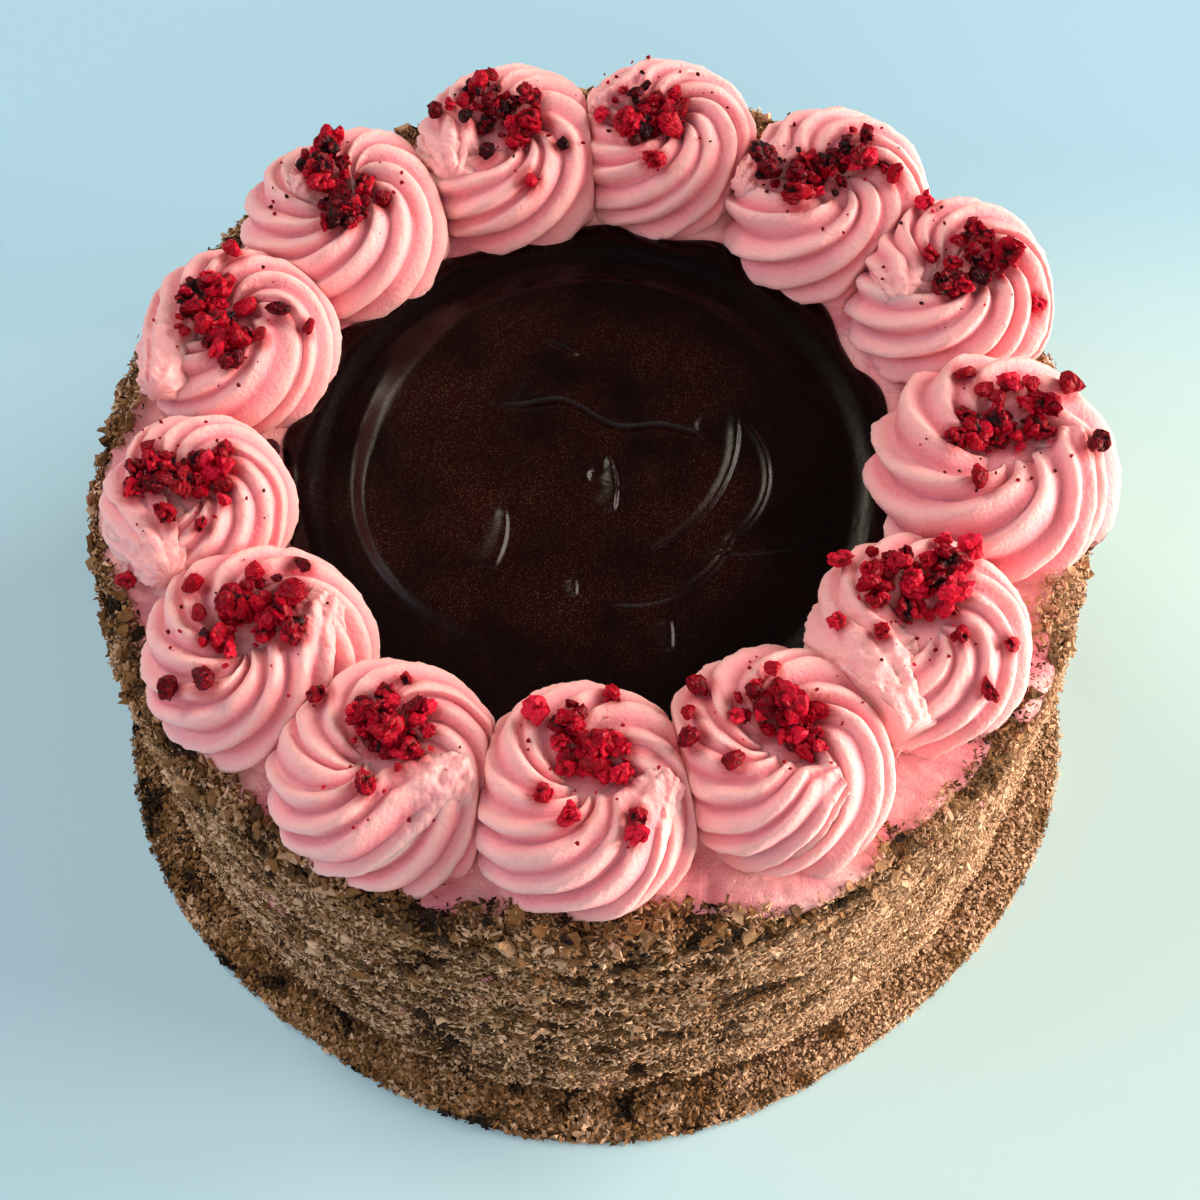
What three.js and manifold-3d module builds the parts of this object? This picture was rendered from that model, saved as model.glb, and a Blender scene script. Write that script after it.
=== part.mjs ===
// A tall round chocolate berry cake. Its side is rolled in grated chocolate, a pool of dark
// ganache lies in its top, and thirteen rosettes of pink buttercream stand round the pool,
// each with crumbs of dried berry in its hollow.
// Millimetres, +Z up. The origin is the middle of the underside, and the near side is at -Y.

import * as THREE from 'three';
import { mergeVertices } from 'three/addons/utils/BufferGeometryUtils.js';
import Module from 'manifold-3d';

const wasm = await Module();
wasm.setup();

// ---- Driving dimensions ----

const GAP = 0.3;                    // clearance between neighbouring pieces
const CAKE_RADIUS = 103;            // an eight inch cake with its buttercream and chocolate
const CAKE_HEIGHT = 97;
const SHOULDER_RADIUS = 4;          // rounding where the side meets the top
const LUMP_HEIGHT = 1.9;            // how far a clump of shavings stands proud
const WOBBLE_HEIGHT = 0.9;          // slow waviness of the hand-spread side

const BANK_WIDTH = 9.5;             // fallen shavings round the foot
const BANK_HEIGHT = 2.4;

const FLAKE_COUNT = 40;             // larger shards of chocolate that stick out
const FLAKE_LENGTH = 9;
const FLAKE_WIDTH = 6;
const FLAKE_THICKNESS = 3;
const FLAKE_OVERLAP = 5;            // how far the chocolate runs in over the shoulder

const POOL_RADIUS = 66;             // ganache pool, with its rim under the rosettes
const POOL_DEPTH = 3;
const OPEN_POOL_RADIUS = 52;        // inside this the pool is clear of the rosettes
const DISC_HEIGHT = 1.5;            // the flat disc that the spatula's last turn left in it

const ROSETTE_HEIGHT = 20;          // of a rosette of the usual width
const USUAL_WIDTH = 44;
const RIDGES = 10;                  // ridges round a rosette's outline
const RIDGE_DEPTH = 2.7;
const RIDGE_SWEEP = 205;            // degrees a ridge turns from the foot to the hollow
const TAIL_LIFT = 0.94;             // height of the tail's tip, in rosette heights
const CRUMBS = 7;                   // crumbs on one rosette that show from a step away
const CRUMB_SIZE = 6.2;
const CRUMB_SCATTER = 15;           // how far from the middle the stray crumbs lie

// Where each rosette stands, counter-clockwise from the near side: the azimuth of its middle
// and of its tail in degrees, and its distance from the cake's axis, width and tail's reach.
const ROSETTES = [
  { azimuth: -91.8, ring: 73.6, width: 46.6, tail: 1, reach: 15.5 },
  { azimuth: -62.9, ring: 74.6, width: 45.7, tail: -37, reach: 12.8 },
  { azimuth: -34.4, ring: 75.7, width: 44.3, tail: -106, reach: 22.1 },
  { azimuth: -2.9, ring: 81.2, width: 51.9, tail: 7, reach: 13.5 },
  { azimuth: 26.6, ring: 85.4, width: 44.3, tail: -150, reach: 14.0 },
  { azimuth: 50.1, ring: 80.8, width: 45.6, tail: -177, reach: 18.0 },
  { azimuth: 77.9, ring: 81.0, width: 42.0, tail: 169, reach: 15.8 },
  { azimuth: 101.5, ring: 78.6, width: 44.9, tail: -138, reach: 16.4 },
  { azimuth: 130.5, ring: 79.3, width: 46.0, tail: 176, reach: 9.5 },
  { azimuth: 157.3, ring: 78.7, width: 42.4, tail: -133, reach: 21.8 },
  { azimuth: 186.3, ring: 79.1, width: 38.9, tail: -99, reach: 20.4 },
  { azimuth: 212.9, ring: 77.4, width: 46.6, tail: 28, reach: 15.6 },
  { azimuth: 239.7, ring: 78.2, width: 46.2, tail: -11, reach: 16.4 },
];

// A rosette's section from its foot to its hollow, in half widths and rosette heights, with
// the share of the ridge depth there.
const ROSETTE_SECTION = [
  { out: 0.93, up: 0.0, ridge: 1.0 },
  { out: 1.0, up: 0.24, ridge: 1.0 },
  { out: 0.93, up: 0.52, ridge: 1.0 },
  { out: 0.76, up: 0.83, ridge: 0.9 },
  { out: 0.5, up: 1.0, ridge: 0.75 },
  { out: 0.27, up: 0.86, ridge: 0.55 },
];
const HOLLOW_FLOOR = 0.6;

// Spatula marks in the ganache: arcs about a centre, with the azimuths in degrees at which
// they start and end, and how high and wide their crests are.
const SPATULA_MARKS = [
  { x: 1, y: 1, radius: 46, from: 100, to: 262, height: 0.7, width: 4.0 },
  { x: -2, y: 11.5, radius: 32.3, from: -64, to: 4, height: 1.1, width: 2.6 },
  { x: 18, y: 0, radius: 18.2, from: -62, to: 42, height: 1.1, width: 2.6 },
  { x: 3, y: 42, radius: 28, from: 232, to: 310, height: 1.0, width: 3.0 },
];

// ---- Small helpers ----

const radians = THREE.MathUtils.degToRad;

// A repeatable stream of numbers from 0 to 1.
function randomStream(seed) {
  let state = seed;
  return () => {
    state = (state + 0x6d2b79f5) | 0;
    let mixed = Math.imul(state ^ (state >>> 15), 1 | state);
    mixed = (mixed + Math.imul(mixed ^ (mixed >>> 7), 61 | mixed)) ^ mixed;
    return ((mixed ^ (mixed >>> 14)) >>> 0) / 4294967296;
  };
}

// A number from -1 to 1.
const either = (random) => 2 * random() - 1;

function polar(radius, angle, height) {
  return new THREE.Vector3(radius * Math.cos(angle), radius * Math.sin(angle), height);
}

// A closed shape as a solid that can be joined and cut.
function solidFrom(geometry) {
  geometry.deleteAttribute('normal');
  geometry.deleteAttribute('uv');
  const merged = mergeVertices(geometry, 1e-4);
  return new wasm.Manifold(new wasm.Mesh({
    numProp: 3,
    vertProperties: new Float32Array(merged.attributes.position.array),
    triVerts: new Uint32Array(merged.index.array),
  }));
}

// Solids joined into one, without the loose scraps that a join can leave.
function fuse(solids) {
  const pieces = wasm.Manifold.union(solids).decompose();
  return pieces.reduce((best, piece) => (piece.volume() > best.volume() ? piece : best));
}

function meshFrom(solid, name, material) {
  const { vertProperties, triVerts } = solid.getMesh();
  const geometry = new THREE.BufferGeometry();
  geometry.setAttribute('position', new THREE.BufferAttribute(vertProperties, 3));
  geometry.setIndex(new THREE.BufferAttribute(triVerts, 1));
  geometry.computeVertexNormals();
  const mesh = new THREE.Mesh(geometry, material);
  mesh.name = name;
  return mesh;
}

// A closed skin: one point below, rings of points from the bottom to the top, one point above.
// Each four-sided field is split along its shorter diagonal.
function skin(below, rings, above) {
  const columns = rings[0].length;
  const points = [below, ...rings.flat(), above];
  const last = points.length - 1;
  const at = (ring, column) => 1 + ring * columns + (column % columns);
  const faces = [];
  for (let column = 0; column < columns; column += 1) {
    faces.push(0, at(0, column + 1), at(0, column));
    for (let ring = 0; ring + 1 < rings.length; ring += 1) {
      const [a, b] = [at(ring, column), at(ring, column + 1)];
      const [c, d] = [at(ring + 1, column + 1), at(ring + 1, column)];
      if (points[a].distanceTo(points[c]) < points[b].distanceTo(points[d])) {
        faces.push(a, b, c, a, c, d);
      } else {
        faces.push(a, b, d, b, c, d);
      }
    }
    faces.push(last, at(rings.length - 1, column), at(rings.length - 1, column + 1));
  }
  const geometry = new THREE.BufferGeometry().setFromPoints(points);
  geometry.setIndex(faces);
  return geometry;
}

// ---- Cake body ----

// The side's slow waviness at one azimuth and height.
function wobble(angle, height) {
  return WOBBLE_HEIGHT * (0.5 * Math.sin(3 * angle + 0.045 * height)
    + 0.3 * Math.sin(7 * angle - 0.06 * height + 1.3) + 0.2 * Math.cos(2 * angle + 0.08 * height));
}

// The skin of the body: flat underside, bank of fallen shavings, lumpy side, rounded
// shoulder, flat top, and the shallow well that holds the ganache.
function bodySkin() {
  const columns = 68;
  const sideRows = 10;
  const random = randomStream(11);
  const ringOf = (place) => Array.from({ length: columns }, (_, column) => {
    const angle = (2 * Math.PI * column) / columns;
    const [radius, height] = place(angle);
    return polar(radius, angle, height);
  });
  const bank = (angle) => BANK_WIDTH * (0.85 - 0.15 * Math.sin(5 * angle));
  const rings = [
    ringOf((angle) => [CAKE_RADIUS + bank(angle), 0]),
    ringOf((angle) => [CAKE_RADIUS + 0.8 * bank(angle), 0.75 * BANK_HEIGHT]),
    ringOf((angle) => [CAKE_RADIUS + 0.25 * bank(angle), BANK_HEIGHT + 0.4 * random()]),
  ];
  const foot = BANK_HEIGHT + 1.2;
  const shoulder = CAKE_HEIGHT - SHOULDER_RADIUS;
  for (let row = 0; row < sideRows; row += 1) {
    const height = THREE.MathUtils.lerp(foot, shoulder, row / (sideRows - 1));
    const proud = row === 0 ? 0.2 : 1;
    rings.push(ringOf((angle) => [
      CAKE_RADIUS - LUMP_HEIGHT + proud * (LUMP_HEIGHT * either(random) + wobble(angle, height)),
      height + (row === 0 ? 0 : 1.6 * either(random)),
    ]));
  }
  rings.push(
    ringOf(() => [CAKE_RADIUS - 0.45 * SHOULDER_RADIUS, CAKE_HEIGHT - 0.3 * SHOULDER_RADIUS]),
    ringOf(() => [CAKE_RADIUS - 1.3 * SHOULDER_RADIUS, CAKE_HEIGHT]),
    ringOf(() => [POOL_RADIUS, CAKE_HEIGHT]),
    ringOf(() => [POOL_RADIUS, CAKE_HEIGHT - POOL_DEPTH]),
  );
  return skin(new THREE.Vector3(), rings, new THREE.Vector3(0, 0, CAKE_HEIGHT - POOL_DEPTH));
}

// Larger shards of chocolate that stick out at random, most of them about the shoulder, and
// none of them above the top, so that the rosettes can overhang them.
function flakeSolids() {
  const random = randomStream(23);
  return Array.from({ length: FLAKE_COUNT }, (_, index) => {
    const angle = (2 * Math.PI * (index + 0.5 * either(random))) / FLAKE_COUNT;
    const below = 0.6 * CAKE_HEIGHT * random() ** 2.6 - FLAKE_OVERLAP;
    const inward = Math.max(0, SHOULDER_RADIUS - below);
    const size = 0.6 + 0.6 * random();
    const flake = new THREE.OctahedronGeometry(size / 2, 0);
    flake.scale(FLAKE_LENGTH, FLAKE_WIDTH, FLAKE_THICKNESS);
    flake.applyMatrix4(new THREE.Matrix4().makeRotationFromEuler(new THREE.Euler(
      1.3 * either(random), 1.1 * either(random), Math.PI * random())));
    const place = polar(
      CAKE_RADIUS - 0.4 - 0.6 * inward, angle, CAKE_HEIGHT - Math.max(0.4, below));
    flake.translate(place.x, place.y, place.z);
    return solidFrom(flake).trimByPlane([0, 0, -1], -CAKE_HEIGHT);
  });
}

function cakeBody() {
  const material = new THREE.MeshStandardMaterial({ color: 0x75553a, roughness: 0.85 });
  return meshFrom(fuse([solidFrom(bodySkin()), ...flakeSolids()]), 'cake_body', material);
}

// ---- Ganache ----

// How high the ganache stands above the cake's top at a point of the pool.
function ganacheRelief(x, y) {
  const fade = THREE.MathUtils.smoothstep(OPEN_POOL_RADIUS - Math.hypot(x, y), 0, 7);
  const swell = 0.3 * Math.sin(0.11 * Math.hypot(x - 6, y + 3) - Math.atan2(y + 3, x - 6));
  let height = DISC_HEIGHT + swell;
  for (const mark of SPATULA_MARKS) {
    const [dx, dy] = [x - mark.x, y - mark.y];
    const middle = radians(0.5 * (mark.from + mark.to));
    const half = radians(0.5 * (mark.to - mark.from));
    const turn = Math.atan2(dy, dx) - middle;
    const away = Math.abs(Math.atan2(Math.sin(turn), Math.cos(turn))) / half;
    const across = (Math.hypot(dx, dy) - mark.radius) / mark.width;
    height += mark.height * Math.exp(-across * across)
      * THREE.MathUtils.smoothstep(1.15 - away, 0, 0.3);
  }
  return fade * height;
}

function ganache() {
  const columns = 42;
  const radius = POOL_RADIUS - GAP;
  const floor = CAKE_HEIGHT - POOL_DEPTH + GAP;
  const ringOf = (reach, height) => Array.from({ length: columns }, (_, column) => {
    const point = polar(reach, (2 * Math.PI * column) / columns, 0);
    return point.setZ(height ?? CAKE_HEIGHT + ganacheRelief(point.x, point.y));
  });
  const reaches = [radius, 52, 47, 41, 35, 29, 24, 19, 13, 6];
  const rings = [ringOf(radius, floor), ...reaches.map((reach) => ringOf(reach))];
  const top = new THREE.Vector3(0, 0, CAKE_HEIGHT + ganacheRelief(0, 0));
  const solid = solidFrom(skin(new THREE.Vector3(0, 0, floor), rings, top));
  const material = new THREE.MeshStandardMaterial({ color: 0x1e0d0a, roughness: 0.3 });
  return meshFrom(solid, 'ganache', material);
}

// ---- Rosettes ----

// A wide rosette is a little higher than a narrow one.
function heightOf(plan) {
  return ROSETTE_HEIGHT * (plan.width / USUAL_WIDTH) ** 0.4;
}

// The ridged ring of one rosette, about its own axis. Crests and furrows alternate round each
// ring of points, and each ring is turned on from the one below it, so the ridges spiral in.
function rosetteRing(plan, random) {
  const columns = 2 * RIDGES;
  const halfWidth = plan.width / 2;
  const size = plan.width / USUAL_WIDTH;
  const bulge = Array.from({ length: columns }, () => 1 + 0.045 * either(random));
  const steps = ROSETTE_SECTION.length - 1;
  const rings = ROSETTE_SECTION.map(({ out, up, ridge }, step) => {
    const slope = Math.PI * 0.5 * (step / steps);
    return Array.from({ length: columns }, (_, column) => {
      const sweep = radians(RIDGE_SWEEP) * (step / steps) ** 1.15;
      const angle = (2 * Math.PI * column) / columns + sweep + radians(plan.tail);
      const depth = column % 2 ? size * RIDGE_DEPTH * ridge : 0;
      const radius = halfWidth * out * bulge[column] - depth * Math.cos(slope);
      const height = heightOf(plan) * up - (step ? depth * Math.sin(slope) : 0);
      return polar(radius, angle, height);
    });
  });
  const floor = new THREE.Vector3(0, 0, heightOf(plan) * HOLLOW_FLOOR);
  return skin(new THREE.Vector3(), rings, floor);
}

// The end of the piped rope: it leaves the ring's crest in a straight line, thins out, and
// ends in a blunt tip near the rosette's edge.
function rosetteTail(plan, random) {
  const size = plan.width / USUAL_WIDTH;
  const corners = 6;
  const start = polar(0.5 * plan.width / 2, radians(plan.tail - 75), 0.7 * heightOf(plan));
  const tip = polar(plan.reach, radians(plan.tail), TAIL_LIFT * heightOf(plan));
  const along = tip.clone().sub(start).normalize();
  const sideways = new THREE.Vector3(-along.y, along.x, 0).normalize();
  const upward = new THREE.Vector3().crossVectors(along, sideways);
  const thickness = [6.6, 6.0, 4.2, 2.3];
  const rings = thickness.map((radius, step) => {
    const middle = start.clone().lerp(tip, step / (thickness.length - 1));
    return Array.from({ length: corners }, (_, corner) => {
      const angle = (2 * Math.PI * (corner + 0.4 * step)) / corners;
      const reach = size * radius * (1 + 0.16 * either(random));
      return middle.clone()
        .addScaledVector(sideways, reach * Math.cos(angle))
        .addScaledVector(upward, reach * Math.sin(angle));
    });
  });
  return skin(start, rings, tip.clone().addScaledVector(along, 1.2));
}

// How high the rosette's crests stand at a distance from its middle.
function crestHeight(plan, distance) {
  const share = distance / (plan.width / 2);
  const rows = [{ out: 0, up: HOLLOW_FLOOR }, ...ROSETTE_SECTION.toReversed()];
  const next = rows.findIndex(({ out }) => out > share);
  const [low, high] = [rows[next - 1], rows[next]];
  const blend = (share - low.out) / (high.out - low.out);
  return heightOf(plan) * THREE.MathUtils.lerp(low.up, high.up, blend);
}

// Angular crumbs of dried berry: most heap up in the hollow and some lie on the crests.
function rosetteCrumbs(plan, random) {
  const hub = polar(3 * random(), 2 * Math.PI * random(), 0);
  return Array.from({ length: CRUMBS }, (_, index) => {
    const stray = index % 4 === 3;
    const distance = stray ? CRUMB_SCATTER * (0.6 + 0.4 * random()) : 8.5 * random() ** 0.7;
    const place = polar(distance, 2.4 * index + random(), 0).add(hub);
    const size = 0.5 * CRUMB_SIZE * (stray ? 0.5 + 0.2 * random() : 0.65 + 0.5 * random());
    place.z = crestHeight(plan, Math.hypot(place.x, place.y)) - 0.1 * size;
    const crumb = new THREE.OctahedronGeometry(1.15 * size, 0);
    crumb.scale(1, 0.7 + 0.3 * random(), 0.7 + 0.3 * random());
    crumb.applyMatrix4(new THREE.Matrix4().makeRotationFromEuler(new THREE.Euler(
      Math.PI * random(), Math.PI * random(), Math.PI * random())));
    crumb.translate(place.x, place.y, place.z);
    return solidFrom(crumb);
  });
}

// The solid cut back to half the gap from the upright plane where two rosettes press together.
function cutBack(solid, plan, neighbour) {
  const here = polar(plan.ring, radians(plan.azimuth), 0);
  const there = polar(neighbour.ring, radians(neighbour.azimuth), 0);
  const share = plan.width / (plan.width + neighbour.width);
  const normal = there.clone().sub(here).normalize();
  const offset = normal.dot(here.clone().lerp(there, share)) - GAP / 2;
  return solid.trimByPlane([-normal.x, -normal.y, 0], -offset);
}

function rosette(plan, index) {
  const random = randomStream(101 + 7 * index);
  const whole = fuse([
    solidFrom(rosetteRing(plan, random)),
    solidFrom(rosetteTail(plan, random)),
    ...rosetteCrumbs(plan, random),
  ]);
  const base = polar(plan.ring, radians(plan.azimuth), CAKE_HEIGHT + GAP);
  const count = ROSETTES.length;
  let placed = whole.translate([base.x, base.y, base.z]);
  placed = cutBack(placed, plan, ROSETTES[(index + 1) % count]);
  placed = cutBack(placed, plan, ROSETTES[(index + count - 1) % count]);
  const name = `rosette_${String(index + 1).padStart(2, '0')}`;
  const material = new THREE.MeshStandardMaterial({ color: 0xeba3a6, roughness: 0.55 });
  return meshFrom(fuse([placed]), name, material);
}

// ---- The cake ----

const cake = new THREE.Group();
cake.add(cakeBody(), ganache(), ...ROSETTES.map(rosette));

export default cake;
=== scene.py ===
"""A chocolate berry cake: buttercream coat, grated chocolate, ganache pool and piped rosettes."""

import logging
import math
from dataclasses import dataclass, field
from enum import Enum
from typing import Any

import bpy
import numpy as np
from mathutils import Matrix, Vector


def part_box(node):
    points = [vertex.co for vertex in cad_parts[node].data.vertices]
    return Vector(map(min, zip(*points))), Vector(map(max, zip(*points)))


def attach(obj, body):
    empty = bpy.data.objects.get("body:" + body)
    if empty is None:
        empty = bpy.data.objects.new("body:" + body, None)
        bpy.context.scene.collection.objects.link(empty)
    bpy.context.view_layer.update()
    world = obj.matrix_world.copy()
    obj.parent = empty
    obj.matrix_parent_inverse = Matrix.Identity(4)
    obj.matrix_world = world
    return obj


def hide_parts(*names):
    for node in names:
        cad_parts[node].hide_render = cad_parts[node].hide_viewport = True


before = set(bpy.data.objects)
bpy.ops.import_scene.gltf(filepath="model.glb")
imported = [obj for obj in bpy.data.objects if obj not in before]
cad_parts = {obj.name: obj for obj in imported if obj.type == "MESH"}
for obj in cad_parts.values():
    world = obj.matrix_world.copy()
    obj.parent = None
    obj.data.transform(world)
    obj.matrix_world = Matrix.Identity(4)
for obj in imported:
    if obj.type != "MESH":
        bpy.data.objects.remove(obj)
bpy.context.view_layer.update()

MM = 0.001
BODY = "root"
CAKE_RADIUS = 103.0
CAKE_HEIGHT = 1000.0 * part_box("cake_body")[1].z
POOL_RADIUS = 1000.0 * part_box("ganache")[1].x
USUAL_WIDTH = 44.0               # of a rosette
FLOOR_GAP = 0.02                 # scattered things stay this far above the floor
SHADE_RADIUS = (1.0, 0.36, 0.28)     # how far red, green and blue light go in buttercream

# Large odd numbers that are usual for hashing a lattice of cubes, and the hash's length.
HASH_PRIMES = (73856093, 19349663, 83492791)
HASH_MIXERS = (2654435761, 2246822519, 3266489917)
HASH_BITS = 0xFFFFFFFF

log = logging.getLogger("cake")


# ---------------------------------------------------------------- numbers and meshes


def smooth(value: Any) -> Any:
    """Eases 0 to 1 with level ends.

    Args:
        value: Numbers, held between 0 and 1 first.

    Returns:
        The eased numbers, 3 v squared less 2 v cubed.
    """
    held = np.clip(value, 0.0, 1.0)
    return held * held * (3.0 - 2.0 * held)


def blend(start: Any, end: Any, share: Any) -> Any:
    """Goes from start to end.

    Args:
        start: Value at share 0.
        end: Value at share 1.
        share: How far along, 0 to 1.

    Returns:
        start plus share times the difference.
    """
    return start + (end - start) * share


def lattice_noise(points: np.ndarray, size: float, seed: int) -> np.ndarray:
    """Smooth noise in space, from a hashed lattice of cubes.

    Each lattice corner gets a fixed number from -1 to 1, and a point takes the eased
    three-way blend of the eight corners of its cube.

    Args:
        points: An array of shape (n, 3).
        size: Edge of a lattice cube, in the points' unit.
        seed: Number that picks the pattern.

    Returns:
        n numbers from -1 to 1.
    """
    scaled = points / size
    low = np.floor(scaled).astype(np.int64)
    share = smooth(scaled - low)
    total = np.zeros(len(points))
    for corner in np.ndindex(2, 2, 2):
        cell = low + np.array(corner)
        first, second, third = (cell[:, axis] * HASH_PRIMES[axis] for axis in range(3))
        mixed = (first ^ second ^ third ^ seed * HASH_MIXERS[0]) & HASH_BITS
        mixed = (mixed ^ (mixed >> 15)) * HASH_MIXERS[1] & HASH_BITS
        mixed = (mixed ^ (mixed >> 13)) * HASH_MIXERS[2] & HASH_BITS
        value = (mixed ^ (mixed >> 16)) / 2.0 ** 31 - 1.0
        weight = np.prod(np.where(np.array(corner) == 1, share, 1.0 - share), axis=1)
        total += weight * value
    return total


def rough_noise(points: np.ndarray, size: float, seed: int, octaves: int = 3) -> np.ndarray:
    """Noise with finer and fainter layers on top.

    Args:
        points: An array of shape (n, 3).
        size: Cube edge of the coarsest layer.
        seed: Number that picks the pattern.
        octaves: How many layers, each half the size and height of the last.

    Returns:
        n numbers of about -1 to 1.
    """
    layers = [
        0.5 ** layer * lattice_noise(points, size * 0.5 ** layer, seed + layer)
        for layer in range(octaves)
    ]
    return np.sum(layers, axis=0) / (2.0 - 0.5 ** (octaves - 1))


def make_piece(
    name: str, points: np.ndarray, faces: np.ndarray, flat: bool = False,
) -> bpy.types.Object:
    """Puts points in millimetres and faces of one size into a new object.

    Args:
        name: The piece's name.
        points: Array (n, 3) in millimetres.
        faces: Array (m, 3) or (m, 4) of point numbers.
        flat: True for flat shaded facets.

    Returns:
        The linked object, at the origin.
    """
    mesh = bpy.data.meshes.new(name)
    corners = faces.shape[1]
    mesh.vertices.add(len(points))
    mesh.vertices.foreach_set("co", (points * MM).astype(np.float32).ravel())
    mesh.loops.add(faces.size)
    mesh.loops.foreach_set("vertex_index", faces.astype(np.int32).ravel())
    mesh.polygons.add(len(faces))
    mesh.polygons.foreach_set("loop_start", np.arange(0, faces.size, corners, dtype=np.int32))
    mesh.polygons.foreach_set("use_smooth", np.full(len(faces), not flat))
    mesh.update(calc_edges=True)
    mesh.validate()
    piece = bpy.data.objects.new(name, mesh)
    bpy.context.scene.collection.objects.link(piece)
    return piece


def add_attribute(piece: bpy.types.Object, name: str, values: np.ndarray) -> None:
    """Stores one number for each point of the piece, for its material to read."""
    attribute = piece.data.attributes.new(name, "FLOAT", "POINT")
    attribute.data.foreach_set("value", values.astype(np.float32))


def skin(rings: np.ndarray, start: np.ndarray, end: np.ndarray) -> tuple[np.ndarray, np.ndarray]:
    """Closes a stack of rings into one skin with a pole at each end.

    Args:
        rings: Array (rings, columns, 3); each ring is closed on itself.
        start: The pole before the first ring.
        end: The pole after the last ring.

    Returns:
        The points, and triangles that face outwards.
    """
    count, columns = rings.shape[:2]
    points = np.vstack([start, rings.reshape(-1, 3), end])
    here = np.arange(columns)
    after = (here + 1) % columns
    base = 1 + columns * np.arange(count - 1)[:, None]
    a, b = base + here, base + after
    c, d = b + columns, a + columns
    sides = np.stack([a, b, c, a, c, d], axis=-1).reshape(-1, 3)
    first = np.stack([np.zeros(columns, int), 1 + after, 1 + here], axis=-1)
    top = 1 + columns * (count - 1)
    last = np.stack([np.full(columns, len(points) - 1), top + here, top + after], axis=-1)
    faces = np.vstack([first, sides, last])
    corner = points[faces]
    volume = np.einsum("ij,ij->i", corner[:, 0], np.cross(corner[:, 1], corner[:, 2])).sum()
    return points, faces if volume > 0 else faces[:, ::-1]


def turned(count: int, rng: np.random.Generator, tilt: float) -> np.ndarray:
    """Random turns for scattered things.

    Each is a spin about the third axis followed by a tilt about a level axis.

    Args:
        count: How many.
        rng: Source of the draws.
        tilt: Usual tilt away from level, in degrees.

    Returns:
        Array (count, 3, 3) of rotation matrices.
    """
    spin = rng.uniform(0.0, 2.0 * np.pi, count)
    lean = np.radians(tilt) * rng.normal(size=count)
    way = rng.uniform(0.0, 2.0 * np.pi, count)
    return rotations(way, 2) @ rotations(lean, 0) @ rotations(spin, 2)


def rotations(angles: np.ndarray, axis: int) -> np.ndarray:
    """Rotation matrices about one axis.

    Args:
        angles: n angles in radians.
        axis: 0, 1 or 2 for X, Y or Z.

    Returns:
        Array (n, 3, 3), with the angles' cosines and sines in the other two rows.
    """
    first, second = (axis + 1) % 3, (axis + 2) % 3
    made = np.zeros((len(angles), 3, 3))
    made[:, axis, axis] = 1.0
    made[:, first, first] = made[:, second, second] = np.cos(angles)
    made[:, first, second] = -np.sin(angles)
    made[:, second, first] = np.sin(angles)
    return made


def scatter(
    name: str, shapes: np.ndarray, faces: np.ndarray, frames: np.ndarray, places: np.ndarray,
    tones: np.ndarray,
) -> bpy.types.Object:
    """Joins many small things into one mesh with flat shaded facets.

    Point p of thing i is its place plus its frame times shape point p, held above the floor.

    Args:
        name: The piece's name.
        shapes: Array (things, points, 3) of the things' own points.
        faces: Array (faces, corners) of one thing, the same for all.
        frames: Array (things, 3, 3) that turns each one.
        places: Array (things, 3) of their middles.
        tones: From 0, dark, to 1, light: array (things, 1) or (things, points).

    Returns:
        The joined piece, with the attribute "tone" on its points.
    """
    count, size = shapes.shape[:2]
    points = np.einsum("nij,npj->npi", frames, shapes) + places[:, None, :]
    points[..., 2] = np.maximum(points[..., 2], FLOOR_GAP)
    joined = faces[None, :, :] + size * np.arange(count)[:, None, None]
    piece = make_piece(name, points.reshape(-1, 3), joined.reshape(-1, faces.shape[1]), True)
    add_attribute(piece, "tone", np.broadcast_to(tones, (count, size)).ravel())
    return piece


# ---------------------------------------------------------------- finishes


def linear(colour: str) -> tuple[float, float, float, float]:
    """Turns an sRGB hex colour such as "#c8b4a0" into linear RGBA."""
    parts = [int(colour[i:i + 2], 16) / 255.0 for i in (1, 3, 5)]
    return (*(p / 12.92 if p <= 0.04045 else ((p + 0.055) / 1.055) ** 2.4 for p in parts), 1.0)


def add_node(
    tree: bpy.types.NodeTree, kind: str, inputs: dict[Any, Any] | None = None, **options: Any,
) -> bpy.types.Node:
    """Adds one node with its settings and links.

    Args:
        tree: The material's node tree.
        kind: The node's Blender type.
        inputs: Socket name or number to a value, or to another node's output to link.
        options: The node's own properties; ramp is a list of (position, hex colour).

    Returns:
        The new node.
    """
    made = tree.nodes.new(kind)
    for option, value in options.items():
        if option == "ramp":
            stops = made.color_ramp.elements
            while len(stops) < len(value):
                stops.new(1.0)
            for stop, (position, colour) in zip(stops, value):
                stop.position = position
                stop.color = linear(colour)
        else:
            setattr(made, option, value)
    for socket, value in (inputs or {}).items():
        if isinstance(value, bpy.types.NodeSocket):
            tree.links.new(value, made.inputs[socket])
        else:
            made.inputs[socket].default_value = value
    return made


def new_material(name: str) -> tuple[bpy.types.Material, bpy.types.NodeTree, Any]:
    """Starts a node material.

    Args:
        name: The material's name.

    Returns:
        The material, its empty node tree, and its Object coordinates.
    """
    material = bpy.data.materials.new(name)
    material.use_nodes = True
    tree = material.node_tree
    tree.nodes.clear()
    return material, tree, add_node(tree, "ShaderNodeTexCoord").outputs["Object"]


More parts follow.
